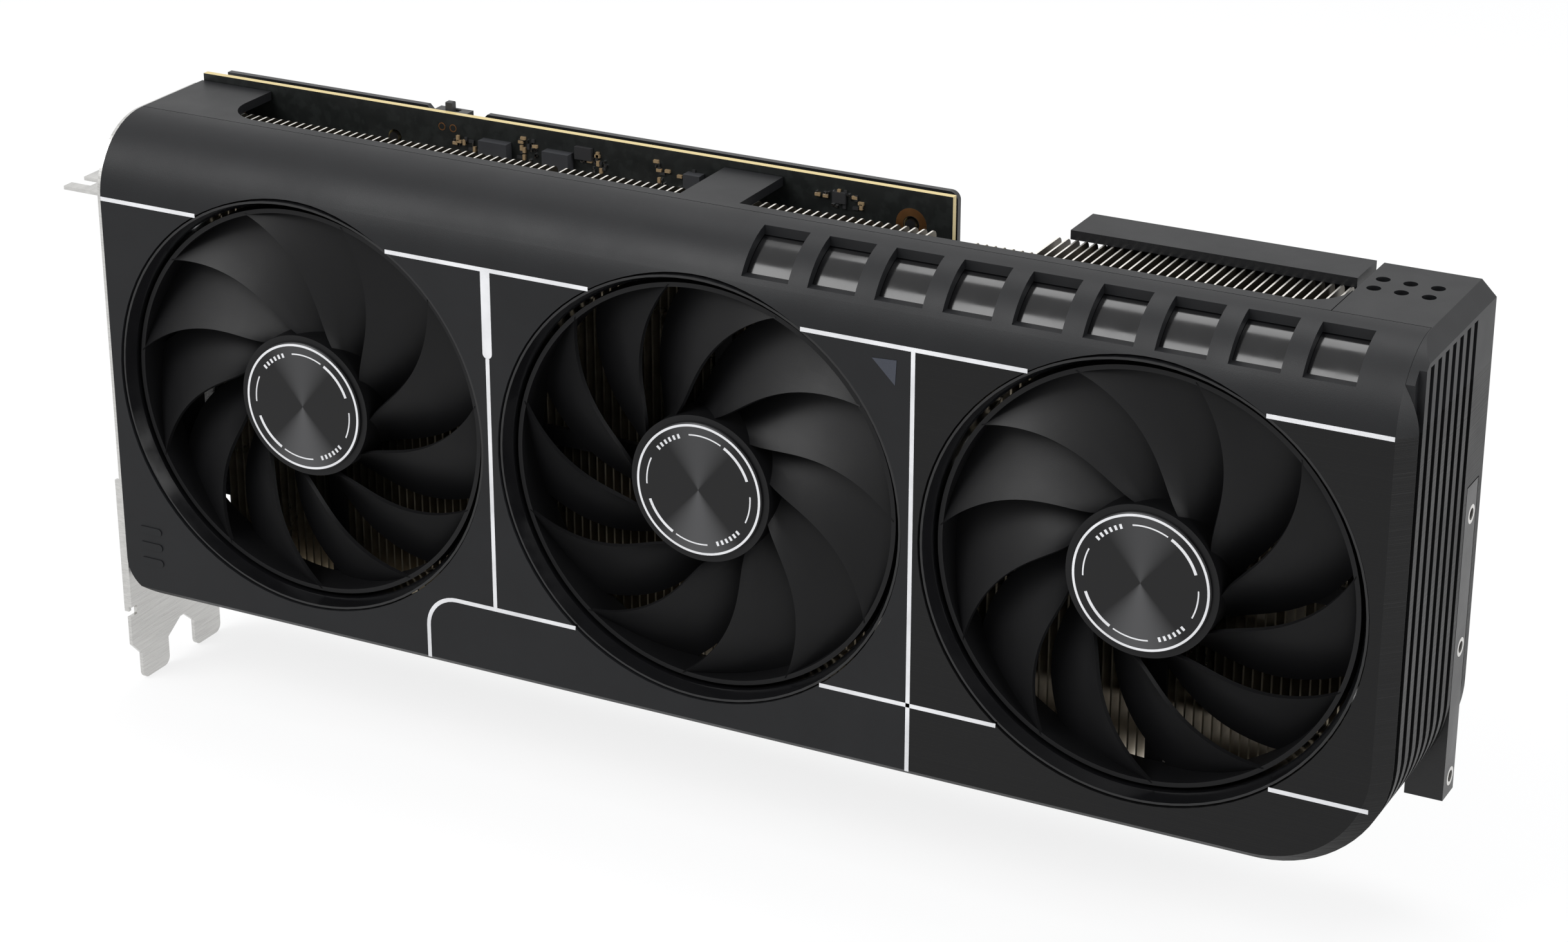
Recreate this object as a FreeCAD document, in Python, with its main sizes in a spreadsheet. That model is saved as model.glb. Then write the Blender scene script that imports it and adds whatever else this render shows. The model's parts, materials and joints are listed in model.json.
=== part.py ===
import FreeCAD, Part

import math
import os

import Sketcher

# A two-slot-bracket graphics card with three axial fans, standing on its edge connector.
# +X runs from the bracket to the far end, +Z away from the slot, and the fans face -Y.
# The origin is the middle of the long contact segment's bottom edge, in the board's mid-plane.

V = FreeCAD.Vector
doc = FreeCAD.newDocument("graphics_card")

# ---------------------------------------------------------------- driving dimensions (mm)

DIMENSIONS = {
    # board and edge connector
    "board_t": 1.57, "board_inset": 0.3, "board_len": 189.4, "board_top": 116.45,
    "contact_z": 8.25, "contact_long": 71.65, "contact_short": 11.65, "contact_bevel": 0.45,
    "key_width": 1.9, "key_depth": 8.4, "key_from_bracket": 59.05,
    "hook_gap": 2.3, "hook_len": 5.4, "hook_z": 3.2, "board_hole_r": 1.7,
    # casing, front to back
    "board_gap": 40.2, "back_depth": 8.2, "shell_len": 299.7, "end_bevel": 3.4, "low_bevel": 1.4,
    "shell_top": 114.85, "shell_low": 3.1, "wall": 2.0, "top_round": 17.0,
    "seam_depth": 17.2, "seam_gap": 0.2, "corner_low_far": 25.4, "corner_low_near": 8.0,
    "end_skin": 3.3, "rib_start": 3.5, "rib_pitch": 4.4, "groove_w": 2.2, "groove_deep": 1.5,
    "rib_count": 8, "end_behind": 7.8, "cap_len": 23.2, "cap_chamfer": 3.2, "cap_hole_r": 1.45,
    "cap_hole_pitch": 5.6, "face_gap": 0.05, "fit_gap": 0.3,
    # windows along the top edge
    "win_front": 20.4, "win_near": 19.1, "win_mid_a": 135.9, "win_mid_b": 149.9,
    "win_round": 9.6, "frame_short": 0.3, "near_wall": 30.4,
    # accent slots in the curved top edge
    "slot_first": 160.0, "slot_pitch": 15.0, "slot_w": 10.6, "slot_count": 9,
    "slot_low": 106.4, "slot_back": 12.5, "accent_t": 1.2, "accent_gap": 0.2,
    # raised rail at the back of the top edge
    "bar_near": 217.2, "bar_far": 278.2, "bar_ahead": 3.2, "bar_behind": 8.3, "bar_t": 2.0,
    # fans
    "fan_first": 50.4, "fan_pitch": 99.5, "fan_z": 57.3, "opening_r": 47.9,
    "duct_r": 47.6, "duct_bore": 46.0, "duct_back": 13.3, "duct_lip": 0.5, "duct_cone": 3.2,
    "ring_r": 45.0, "ring_t": 1.0, "ring_front": 3.6, "ring_back": 12.4,
    "hub_r": 16.4, "hub_t": 1.3, "hub_front": 2.6, "hub_back": 12.2,
    "fan_turn_1": 4.0, "fan_turn_2": -15.6, "fan_turn_3": 1.1,
    "blade_count": 11, "blade_t": 1.0, "blade_wrap": 31.0, "blade_front": 3.9, "blade_back": 11.6,
    "cap_r": 14.9, "cap_t": 0.8, "shaft_r": 1.5, "shaft_fit": 0.03, "shaft_back": 14.5,
    "magnet_t": 1.2, "magnet_front": 4.4, "stator_r": 12.6, "stator_front": 5.6,
    "stator_back": 12.0, "bearing_r": 3.0, "tube_r": 4.2, "frame_t": 1.3, "motor_base_r": 16.0,
    "frame_ring_w": 2.0, "strut_w": 4.0, "strut_count": 4, "ear_reach": 53.0, "ear_r": 3.0,
    "boss_hole_r": 1.05, "screw_r": 1.0, "screw_head_r": 2.1, "screw_head_t": 0.6,
    # cooler
    "fin_front": 15.6, "fin_back": 30.5, "deep_behind": 5.2, "fin_t": 0.4, "fin_pitch": 2.02,
    "fin_low": 8.8, "fin_top": 112.7, "fin_round": 1.5, "shelf_short": 1.5, "fin_notch_z": 108.5,
    "fin_notch_a": 191.0, "fin_notch_b": 214.0, "fin_near": 19.0, "fin_split_a": 101.0,
    "fin_split_b": 192.0, "fin_far_gap": 5.3, "deep_low": 18.0, "deep_top": 100.5, "comb_t": 0.4, "comb_w": 2.4,
    "pipe_r": 3.0, "pipe_gap": 0.05, "pipe_count": 5, "pipe_pitch": 17.5, "pipe_web": 0.7,
    "gpu_from_bracket": 88.0, "gpu_z": 62.0, "package_w": 42.0, "package_t": 1.2,
    "die_w": 22.0, "die_h": 18.0, "die_t": 0.8, "paste_t": 0.05, "plate_w": 92.0,
    "plate_h": 84.0, "plate_t": 3.0, "pedestal_w": 30.0, "pedestal_t": 0.6,
    "mount_pitch": 64.0, "memory_w": 14.0, "memory_h": 12.0, "memory_t": 1.1,
    "choke_w": 7.0, "choke_t": 5.0, "stage_w": 5.0, "stage_t": 0.9, "cap_can_r": 3.15,
    "cap_can_t": 6.0, "vrm_offset": 54.0, "vrm_pitch": 10.0, "vrm_count": 6,
    # back of the board
    "panel_t": 1.5, "rim_t": 1.5, "rim_gap": 0.4, "back_low_near": 11.0, "back_low_far": 15.3,
    "corner_back": 12.0,
    "corner_board": 2.0, "back_step": 2.7,
    "back_top": 112.6, "back_high": 114.6, "back_top_far": 103.3, "high_a1": 55.4,
    "high_b0": 71.2, "vent_count": 12, "vent_pitch": 7.2, "vent_w": 4.4, "vent_first": 203.0,
    "vent_low": 26.0, "vent_high": 93.0, "post_r": 3.0, "post_top": 109.0, "head_r": 2.6, "head_t": 1.1,
    "spring_t": 1.2, "spring_w": 9.0,
    # bracket (add-in card standard: 120.02 tall, 20.32 slot pitch, 10.19 tabs)
    "bracket_t": 0.86, "bracket_h": 120.02, "slot_pitch_std": 20.32, "tab_w": 10.19,
    "tab_first": 8.1, "tab_round": 2.0, "plate_front": 0.3, "plate_short": 1.8,
    "tab_root": 6.8, "arch_rise": 10.0, "shoulder_z": 10.3, "foot_z": -21.6,
    "flange_reach": 11.43, "flange_front": 3.0, "notch_w": 4.42, "notch_reach": 5.2,
    "lip_w": 1.2, "lip_low": -3.2, "lip_high": 30.0,
    "port_h": 16.9, "port_t": 5.6, "port_depth": 16.0, "port_wall": 0.4, "port_gap": 0.25,
    "port_first": 22.0, "port_pitch": 22.0, "port_lift": 2.85, "hdmi_h": 15.2,
    "tongue_t": 0.9, "tongue_h": 12.4, "tongue_depth": 13.0, "grid_rows": 10, "grid_pitch": 8.4,
    "grid_low": 12.0, "grid_h": 5.0, "grid_w": 10.4, "grid_y": 4.6, "grid_gap": 12.6,
    # power inlet
    "inlet_from_end": 22.0, "inlet_w": 19.4, "inlet_deep": 8.4, "inlet_h": 12.2, "inlet_top": 103.3,
    "inlet_wall": 1.0, "inlet_floor": 2.0, "pin_w": 0.8, "pin_pitch": 3.0, "pin_rows": 2,
    "pin_cols": 6, "pin_h": 7.0,
    # firmware selector switch on the top edge
    "switch_x": 65.7, "switch_w": 8.4, "switch_d": 3.2, "switch_h": 3.6, "knob_w": 1.8,
    "knob_d": 1.5, "knob_h": 1.9, "knob_travel": 1.5, "knob_gap": 0.1, "switch_drop": 0.1,
    # strip with threaded inserts at the far end
    "brace_w": 6.8, "brace_ahead": 1.6, "brace_t": 1.5, "brace_foot": 8.2, "brace_low": 4.65,
    "brace_high": 74.3, "insert_r": 2.05, "insert_bore": 1.25, "insert_len": 3.2,
    "insert_low": 8.6, "insert_pitch": 29.35, "insert_count": 3,
}

# Places that follow the board or the casing's length, from the clearances above.
FOLLOWING = {
    "end_depth": "=board_gap + end_behind",
    "frame_back": "=board_gap - frame_short",
    "bar_front": "=board_gap - bar_ahead",
    "bar_back": "=board_gap + bar_behind",
    "fin_deep_back": "=board_gap + deep_behind",
    "fin_shelf": "=board_gap - shelf_short",
    "plate_back": "=board_gap - plate_short",
    "brace_front": "=board_gap - brace_ahead",
    "fin_far": "=shell_len - fin_far_gap",
}

sheet = doc.addObject("Spreadsheet::Sheet", "dims")
for row, (alias, size) in enumerate({**DIMENSIONS, **FOLLOWING}.items(), start=1):
    sheet.set(f"A{row}", alias)
    sheet.set(f"B{row}", str(size))
    sheet.setAlias(f"B{row}", alias)
doc.recompute()


def num(expression):
    """The value of an expression over the sheet, in mm."""
    return float(sheet.evalExpression(str(expression)))


def count(alias):
    return int(round(num(f"dims.{alias}")))


# ---------------------------------------------------------------- named places

BRACKET_X = "(-(dims.contact_long / 2 + dims.key_width / 2 + dims.key_from_bracket))"
FRONT_Y = "(-(dims.board_t / 2 + dims.board_gap))"
BOARD_FACE = "(-(dims.board_t / 2))"
BOARD_BACK = "(dims.board_t / 2)"
BACK_Y = "(dims.board_t / 2 + dims.back_depth)"
FOOT_TO_FLANGE = "(dims.foot_z + dims.bracket_h)"


def at(distance):
    """X of a point that far from the bracket's inner face."""
    return f"({BRACKET_X} + {distance})"


def depth(distance):
    """Y of a point that far behind the front face."""
    return f"({FRONT_Y} + {distance})"


END_X = at("dims.shell_len + dims.end_bevel")
BOARD_END = at("dims.board_len")
GPU_X = at("dims.gpu_from_bracket")
PIPE_Y = depth("dims.fin_back - dims.pipe_r - dims.pipe_web")
PLATE_BACK = f"({BOARD_FACE} - dims.package_t - dims.die_t - dims.paste_t)"
FRAME_DEPTH = "(dims.duct_back + dims.frame_t)"


def fan_x(index):
    return at(f"dims.fan_first + {index} * dims.fan_pitch")


# ---------------------------------------------------------------- helpers

nodes = {}


def keep(label, item):
    item.Label = label
    nodes[label] = item
    return item


def new_body(label):
    return keep(label, doc.addObject("PartDesign::Body", label))


def sketch_on(body, role, offset):
    sketch = body.newObject("Sketcher::SketchObject", f"{body.Name}_sketch")
    plane = [item for item in body.Origin.OriginFeatures if item.Role == role][0]
    sketch.AttachmentSupport = [(plane, "")]
    sketch.MapMode = "FlatFace"
    sketch.setExpression("AttachmentOffset.Base.z", str(offset))
    return sketch


def bind(sketch, kind, geometry, point, expression):
    """A coordinate of one sketch point, driven by an expression."""
    index = sketch.addConstraint(
        Sketcher.Constraint(kind, -1, 1, geometry, point, num(expression)))
    sketch.setExpression(f"Constraints[{index}]", str(expression))


def polygon(points):
    """Draws a closed outline through points given as expressions."""
    def draw(sketch):
        places = [V(num(a), num(b), 0) for a, b in points]
        first = sketch.GeometryCount
        total = len(places)
        for index in range(total):
            sketch.addGeometry(Part.LineSegment(places[index], places[(index + 1) % total]))
        for index, (a, b) in enumerate(points):
            following = first + (index + 1) % total
            sketch.addConstraint(
                Sketcher.Constraint("Coincident", first + index, 2, following, 1))
            bind(sketch, "DistanceX", first + index, 1, a)
            bind(sketch, "DistanceY", first + index, 1, b)
    return draw


def rectangle(a0, a1, b0, b1):
    return polygon([(a0, b0), (a1, b0), (a1, b1), (a0, b1)])


def circles(places, radius):
    def draw(sketch):
        for a, b in places:
            index = sketch.addGeometry(
                Part.Circle(V(num(a), num(b), 0), V(0, 0, 1), num(radius)))
            bind(sketch, "DistanceX", index, 3, a)
            bind(sketch, "DistanceY", index, 3, b)
            ring = sketch.addConstraint(Sketcher.Constraint("Radius", index, num(radius)))
            sketch.setExpression(f"Constraints[{ring}]", str(radius))
    return draw


def rounded(a0, a1, b0, b1, radius):
    """Draws a rectangle with four equal round corners."""
    def draw(sketch):
        x0, x1, y0, y1, r = (num(item) for item in (a0, a1, b0, b1, radius))
        first = sketch.GeometryCount
        lines = [(V(x0 + r, y0, 0), V(x1 - r, y0, 0)), (V(x1, y0 + r, 0), V(x1, y1 - r, 0)),
                 (V(x1 - r, y1, 0), V(x0 + r, y1, 0)), (V(x0, y1 - r, 0), V(x0, y0 + r, 0))]
        middles = [(x1 - r, y0 + r, -90), (x1 - r, y1 - r, 0),
                   (x0 + r, y1 - r, 90), (x0 + r, y0 + r, 180)]
        for start, end in lines:
            sketch.addGeometry(Part.LineSegment(start, end))
        for cx, cy, angle in middles:
            ring = Part.Circle(V(cx, cy, 0), V(0, 0, 1), r)
            sketch.addGeometry(Part.ArcOfCircle(ring, math.radians(angle), math.radians(angle + 90)))
        for index in range(4):
            arc = first + 4 + index
            sketch.addConstraint(Sketcher.Constraint("Tangent", first + index, 2, arc, 1))
            sketch.addConstraint(
                Sketcher.Constraint("Tangent", arc, 2, first + (index + 1) % 4, 1))
            way = "Horizontal" if index % 2 == 0 else "Vertical"
            sketch.addConstraint(Sketcher.Constraint(way, first + index))
            if index:
                sketch.addConstraint(Sketcher.Constraint("Equal", first + 4, arc))
        ring = sketch.addConstraint(Sketcher.Constraint("Radius", first + 4, r))
        sketch.setExpression(f"Constraints[{ring}]", str(radius))
        bind(sketch, "DistanceY", first, 1, b0)
        bind(sketch, "DistanceX", first + 1, 1, a1)
        bind(sketch, "DistanceY", first + 2, 1, b1)
        bind(sketch, "DistanceX", first + 3, 1, a0)
    return draw


ROLE = {"X": "YZ_Plane", "Y": "XZ_Plane", "Z": "XY_Plane"}


def prism(body, axis, low, high, *drawings, cut=False):
    """Pads or pockets drawings along an axis, between two places on it."""
    middle = f"(({low}) + ({high})) / 2"
    # The XZ plane's own normal points to -Y.
    offset = f"-({middle})" if axis == "Y" else middle
    sketch = sketch_on(body, ROLE[axis], offset)
    for draw in drawings:
        draw(sketch)
    kind = "PartDesign::Pocket" if cut else "PartDesign::Pad"
    feature = body.newObject(kind, f"{body.Name}_{'cut' if cut else 'pad'}")
    feature.Profile = sketch
    feature.Midplane = True
    feature.setExpression("Length", f"({high}) - ({low})")
    if cut:
        before = volume_below(body, feature)
    doc.recompute()
    if cut and not feature.Shape.Volume < before - 1e-6:
        raise ValueError(f"{feature.Name} removes nothing")
    return feature


def volume_below(body, feature):
    """Volume of the body just before a feature."""
    return feature.BaseFeature.Shape.Volume if feature.BaseFeature else body.Shape.Volume


def turned(body, points, about="V_Axis", role="XY_Plane", remove=False):
    """Revolves an outline about one of its sketch's axes."""
    sketch = sketch_on(body, role, 0)
    polygon(points)(sketch)
    kind = "PartDesign::Groove" if remove else "PartDesign::Revolution"
    feature = body.newObject(kind, f"{body.Name}_turn")
    feature.Profile = sketch
    feature.ReferenceAxis = (sketch, [about])
    feature.Angle = 360
    doc.recompute()
    return feature


def repeat(body, feature, role, length, total):
    """Repeats a feature evenly along one of the body's own axes."""
    pattern = body.newObject("PartDesign::LinearPattern", f"{body.Name}_row")
    pattern.Originals = [feature]
    axis = [item for item in body.Origin.OriginFeatures if item.Role == role][0]
    pattern.Direction = (axis, [""])
    pattern.setExpression("Length", length)
    pattern.Occurrences = total
    body.Tip = pattern
    doc.recompute()
    return pattern


def place(item, x="0", y="0", z="0"):
    for letter, expression in zip("xyz", (x, y, z)):
        item.setExpression(f"Placement.Base.{letter}", str(expression))
    return item


def round_edges(body, base, radius, wanted, kind="PartDesign::Fillet"):
    """Fillets or chamfers the edges whose end points all satisfy wanted."""
    names = [f"Edge{index}" for index, edge in enumerate(base.Shape.Edges, start=1)
             if all(wanted(vertex.Point) for vertex in edge.Vertexes) and wanted(middle_of(edge))]
    feature = body.newObject(kind, f"{body.Name}_edge")
    feature.Base = (base, names)
    feature.setExpression("Size" if kind.endswith("Chamfer") else "Radius", radius)
    doc.recompute()
    return feature


def middle_of(edge):
    return edge.valueAt((edge.FirstParameter + edge.LastParameter) / 2)


def near(value, expression, tolerance=1e-3):
    return abs(value - num(expression)) < tolerance


def box(name, x0, x1, y0, y1, z0, z1):
    item = doc.addObject("Part::Box", name)
    for field, low, high in (("Length", x0, x1), ("Width", y0, y1), ("Height", z0, z1)):
        item.setExpression(field, f"({high}) - ({low})")
    return place(item, x0, y0, z0)


def centred_box(name, x, z, w, h, y0, y1):
    return box(name, f"{x} - ({w}) / 2", f"{x} + ({w}) / 2", y0, y1,
               f"{z} - ({h}) / 2", f"{z} + ({h}) / 2")


def rod(name, axis, x, y, z, radius, length):
    """A cylinder that starts at x, y, z and runs along +axis."""
    item = doc.addObject("Part::Cylinder", name)
    item.setExpression("Radius", radius)
    item.setExpression("Height", length)
    turn = {"X": FreeCAD.Rotation(V(0, 1, 0), 90), "Y": FreeCAD.Rotation(V(1, 0, 0), -90),
            "Z": FreeCAD.Rotation()}
    item.Placement = FreeCAD.Placement(V(0, 0, 0), turn[axis])
    return place(item, x, y, z)


def minus(name, base, *tools):
    for index, tool in enumerate(tools):
        item = doc.addObject("Part::Cut", f"{name}_less_{index}")
        item.Base = base
        item.Tool = tool
        base = item
    doc.recompute()
    return base


def joined(name, *parts):
    item = doc.addObject("Part::MultiFuse", name)
    item.Shapes = list(parts)
    doc.recompute()
    return item


def group(label, parts):
    """Identical or matching loose pieces that share one node."""
    item = doc.addObject("Part::Compound", label)
    item.Links = list(parts)
    doc.recompute()
    return keep(label, item)


def shaped(label, shape):
    item = doc.addObject("Part::Feature", label)
    item.Shape = shape
    return keep(label, item)


# ---------------------------------------------------------------- board and chips

SCREW_PLACES = [(at(20), "16"), (at(8), "dims.post_top"), (at(52), "dims.post_top"),
                (at("dims.board_len - 9.5"), "dims.post_top"), (at("dims.board_len - 9.5"), "20"),
                (at(132), "20")]
MOUNT_PLACES = [(f"{GPU_X} + {i} * dims.mount_pitch / 2", f"dims.gpu_z + {k} * dims.mount_pitch / 2")
                for i in (-1, 1) for k in (-1, 1)]
TAB_PLACES = [(at(5), "32.55"), (at(5), "102")]


def make_board():
    body = new_body("pcb")
    half = "dims.contact_long / 2"
    key = f"(-({half}) - dims.key_width)"
    short = f"({key} - dims.contact_short)"
    hook = f"({half} + dims.hook_gap)"
    low = "dims.contact_z"
    left = at("dims.board_inset")
    outline = [(left, low), (short, low), (short, "0"), (key, "0"), (key, "dims.key_depth"),
               (f"-({half})", "dims.key_depth"), (f"-({half})", "0"), (half, "0"), (half, low),
               (hook, low), (hook, "dims.hook_z"), (f"{hook} + dims.hook_len", "dims.hook_z"),
               (f"{hook} + dims.hook_len", low), (BOARD_END, low), (BOARD_END, "dims.board_top"),
               (left, "dims.board_top")]
    blank = prism(body, "Y", BOARD_FACE, BOARD_BACK, polygon(outline))
    edge = round_edges(body, blank, "dims.contact_bevel",
                       lambda p: near(p.z, 0) and abs(p.y) > num("dims.board_t") / 4,
                       "PartDesign::Chamfer")
    body.Tip = edge
    holes = circles(SCREW_PLACES + MOUNT_PLACES + TAB_PLACES, "dims.board_hole_r")
    prism(body, "Y", BOARD_FACE, BOARD_BACK, holes, cut=True)


MEMORY_PLACES = [(-34, 15), (-34, -15), (34, 15), (34, -15), (-14, 32), (14, 32)]


def on_board(name, x, z, w, h, low, thick):
    """A block that stands off the component face, from low to low + thick."""
    return centred_box(name, x, z, w, h, f"{BOARD_FACE} - ({low}) - ({thick})",
                       f"{BOARD_FACE} - ({low})")


def make_chips():
    keep("gpu_package", on_board("gpu_package", GPU_X, "dims.gpu_z", "dims.package_w",
                                 "dims.package_w", 0, "dims.package_t"))
    keep("gpu_die", on_board("gpu_die", GPU_X, "dims.gpu_z", "dims.die_w", "dims.die_h",
                             "dims.package_t", "dims.die_t"))
    chips, pads = [], []
    pad_gap = f"({PLATE_BACK} + dims.board_t / 2) * -1 + dims.pedestal_t - dims.memory_t"
    for index, (dx, dz) in enumerate(MEMORY_PLACES):
        upright = abs(dx) > abs(dz)
        w, h = ("dims.memory_h", "dims.memory_w") if upright else ("dims.memory_w", "dims.memory_h")
        x, z = f"{GPU_X} + {dx}", f"dims.gpu_z + {dz}"
        chips.append(on_board(f"memory_{index}", x, z, w, h, 0, "dims.memory_t"))
        pads.append(on_board(f"pad_{index}", x, z, f"{w} - 1", f"{h} - 1", "dims.memory_t",
                             pad_gap))
    group("memory_chips", chips)
    group("thermal_pads", pads)


def make_power_stages():
    chokes, stages, cans = [], [], []
    for side in (-1, 1):
        for index in range(count("vrm_count")):
            x = f"{GPU_X} + {side} * dims.vrm_offset"
            z = f"dims.gpu_z + ({index} - (dims.vrm_count - 1) / 2) * dims.vrm_pitch"
            chokes.append(on_board(f"choke_{side}_{index}", x, z, "dims.choke_w", "dims.choke_w",
                                   0, "dims.choke_t"))
            inner = f"{x} - {side} * (dims.choke_w / 2 + dims.stage_w / 2 + 0.6)"
            stages.append(on_board(f"stage_{side}_{index}", inner, z, "dims.stage_w",
                                   "dims.stage_w + 1", 0, "dims.stage_t"))
            outer = f"{x} + {side} * (dims.choke_w / 2 + dims.cap_can_r + 0.8)"
            cans.append(rod(f"can_{side}_{index}", "Y", outer,
                            f"{BOARD_FACE} - dims.cap_can_t", z, "dims.cap_can_r",
                            "dims.cap_can_t"))
    group("chokes", chokes)
    group("power_stages", stages)
    group("capacitors", cans)


def make_power_inlet():
    x = f"({BOARD_END} - dims.inlet_from_end)"
    y1 = f"({BOARD_FACE} - dims.face_gap)"
    y0 = f"({y1} - dims.inlet_deep)"
    x0, x1 = f"({x} - dims.inlet_w / 2)", f"({x} + dims.inlet_w / 2)"
    z0 = "(dims.inlet_top - dims.inlet_h)"
    body = new_body("power_inlet")
    prism(body, "Z", z0, "dims.inlet_top", rectangle(x0, x1, y0, y1))
    wall = "dims.inlet_wall"
    prism(body, "Z", f"{z0} + dims.inlet_floor", "dims.inlet_top",
          rectangle(f"{x0} + {wall}", f"{x1} - {wall}", f"{y0} + {wall}", f"{y1} - {wall}"),
          cut=True)
    pins = []
    for column in range(count("pin_cols")):
        for line in range(count("pin_rows")):
            px = f"{x} + ({column} - (dims.pin_cols - 1) / 2) * dims.pin_pitch - dims.pin_w / 2"
            py = (f"({y0} + {y1}) / 2 + ({line} - (dims.pin_rows - 1) / 2) * dims.pin_pitch"
                  " - dims.pin_w / 2")
            floor = f"({z0} + dims.inlet_floor)"
            pins.append(box(f"pin_{column}_{line}", px, f"{px} + dims.pin_w", py,
                            f"{py} + dims.pin_w", floor, f"{floor} + dims.pin_h"))
    group("power_pins", pins)


def make_firmware_switch():
    x = at("dims.switch_x")
    top = "(dims.board_top - dims.switch_drop)"
    y0 = BOARD_BACK
    y1 = f"({y0} + dims.switch_d)"
    body = new_body("switch_body")
    prism(body, "Z", f"{top} - dims.switch_h", top,
          rectangle(f"{x} - dims.switch_w / 2", f"{x} + dims.switch_w / 2", y0, y1))
    middle = f"(({y0} + {y1}) / 2)"
    half = "(dims.knob_w / 2 + dims.knob_gap)"
    side = "(dims.knob_d / 2 + dims.knob_gap)"
    prism(body, "Z", f"{top} - dims.knob_h", top,
          rectangle(f"{x} - dims.knob_travel / 2 - {half}", f"{x} + dims.knob_travel / 2 + {half}",
                    f"{middle} - {side}", f"{middle} + {side}"), cut=True)
    knob = new_body("switch_knob")
    start = f"({x} - dims.knob_travel / 2)"
    blank = prism(knob, "Z", f"{top} - dims.knob_h + dims.knob_gap", f"{top} + dims.knob_h",
                  rectangle(f"{start} - dims.knob_w / 2", f"{start} + dims.knob_w / 2",
                            f"{middle} - dims.knob_d / 2", f"{middle} + dims.knob_d / 2"))
    knob.Tip = round_edges(knob, blank, "dims.knob_d / 5",
                           lambda p: near(p.z, f"{top} + dims.knob_h"))


# ---------------------------------------------------------------- cooler

def fin_section(x, low, top, back, deep):
    """One fin's outline in the YZ plane, with holes where the pipes pass."""
    front = num(depth("dims.fin_front"))
    points = [(front, low), (back, low)]
    if deep:
        reach = num(depth("dims.fin_deep_back"))
        deep_low, deep_top = max(low, num("dims.deep_low")), num("dims.deep_top")
        points += [(back, deep_low), (reach, deep_low), (reach, deep_top)]
        back = num(depth("dims.fin_shelf"))
        points += [(back, deep_top)]
    bend = num("dims.fin_round")
    points += [(back, top - bend), (back - bend, top), (front, top)]
    corners = [V(x, y, z) for y, z in dict.fromkeys(points)]
    slant = bend * (1 - math.sqrt(0.5))
    edges = [Part.LineSegment(corners[index - 1], corners[index]).toShape()
             for index in range(len(corners)) if index != len(corners) - 2]
    shoulder = V(x, back - slant, top - slant)
    edges.append(Part.Arc(corners[-3], shoulder, corners[-2]).toShape())
    face = Part.Face(Part.Wire(Part.__sortEdges__(edges)))
    bore = num("dims.pipe_r + dims.pipe_gap")
    for height in pipe_heights():
        hole = Part.Circle(V(x, num(PIPE_Y), height), V(1, 0, 0), bore).toShape()
        face = face.cut(Part.Face(Part.Wire(hole)))
    return face.extrude(V(num("dims.fin_t"), 0, 0))


def pipe_heights():
    total = count("pipe_count")
    return [num(f"dims.fan_z + ({index} - {total - 1} / 2) * dims.pipe_pitch")
            for index in range(total)]


def fin_floor(x):
    """The lowest a fin may reach inside the big round lower corner."""
    low = num("dims.fin_low")
    radius = num("dims.corner_low_far")
    past = x - num(f"{END_X} - dims.corner_low_far")
    if past <= 0:
        return low
    rise = radius - math.sqrt(max(radius ** 2 - (past + num("dims.end_bevel + dims.wall")) ** 2, 0))
    return max(low, num("dims.shell_low") + rise + num("2 * dims.wall"))


def make_fin_stack(label, start, end, deep):
    fins = []
    x = num(at(start))
    stop = num(at(end))
    back = num(depth("dims.fin_back"))
    notch = (num(at("dims.fin_notch_a")), num(at("dims.fin_notch_b")))
    tallest = num("dims.fin_top")
    while x + num("dims.fin_t") <= stop:
        inside = notch[0] < x < notch[1]
        top = num("dims.fin_notch_z") if inside else tallest
        fins.append(fin_section(x, fin_floor(x), top, back, deep))
        last = x + num("dims.fin_t")
        x += num("dims.fin_pitch")
    first = num(at(start))
    strip_t, strip_w = num("dims.comb_t"), num("dims.comb_w")
    heights = pipe_heights()
    combs = []
    for low, high in zip(heights, heights[1:]):
        middle = (low + high) / 2
        corner = V(first, back - strip_t, middle - strip_w / 2)
        combs.append(Part.makeBox(last - first, strip_t, strip_w, corner))
    shaped(label, fins[0].multiFuse(fins[1:] + combs))


def make_heat_pipes():
    pipes = []
    total = count("pipe_count")
    for index in range(total):
        height = f"dims.fan_z + ({index} - {total - 1} / 2) * dims.pipe_pitch"
        start = at("dims.fin_near - 1.5")
        pipes.append(rod(f"pipe_{index}", "X", start, PIPE_Y, height, "dims.pipe_r",
                         f"{at('dims.fin_far')} - {start}"))
    group("heat_pipes", pipes)


def make_cold_plate():
    body = new_body("cold_plate")
    back = f"({PLATE_BACK} - dims.pedestal_t)"
    front = f"({back} - dims.plate_t)"
    w, h = "dims.plate_w", "dims.plate_h"
    prism(body, "Y", front, back,
          rectangle(f"{GPU_X} - {w} / 2", f"{GPU_X} + {w} / 2", f"dims.gpu_z - {h} / 2",
                    f"dims.gpu_z + {h} / 2"))
    p = "dims.pedestal_w"
    prism(body, "Y", back, PLATE_BACK,
          rectangle(f"{GPU_X} - {p} / 2", f"{GPU_X} + {p} / 2", f"dims.gpu_z - {p} / 2",
                    f"dims.gpu_z + {p} / 2"))
    prism(body, "Y", front, back, circles(MOUNT_PLACES, "dims.boss_hole_r"), cut=True)
    block_back = front
    block = new_body("base_block")
    prism(block, "Y", depth("dims.fin_back"), block_back,
          rectangle(f"{GPU_X} - {w} / 2", f"{GPU_X} + {w} / 2", f"dims.gpu_z - {h} / 2",
                    f"dims.gpu_z + {h} / 2"))


# ---------------------------------------------------------------- fans

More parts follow.
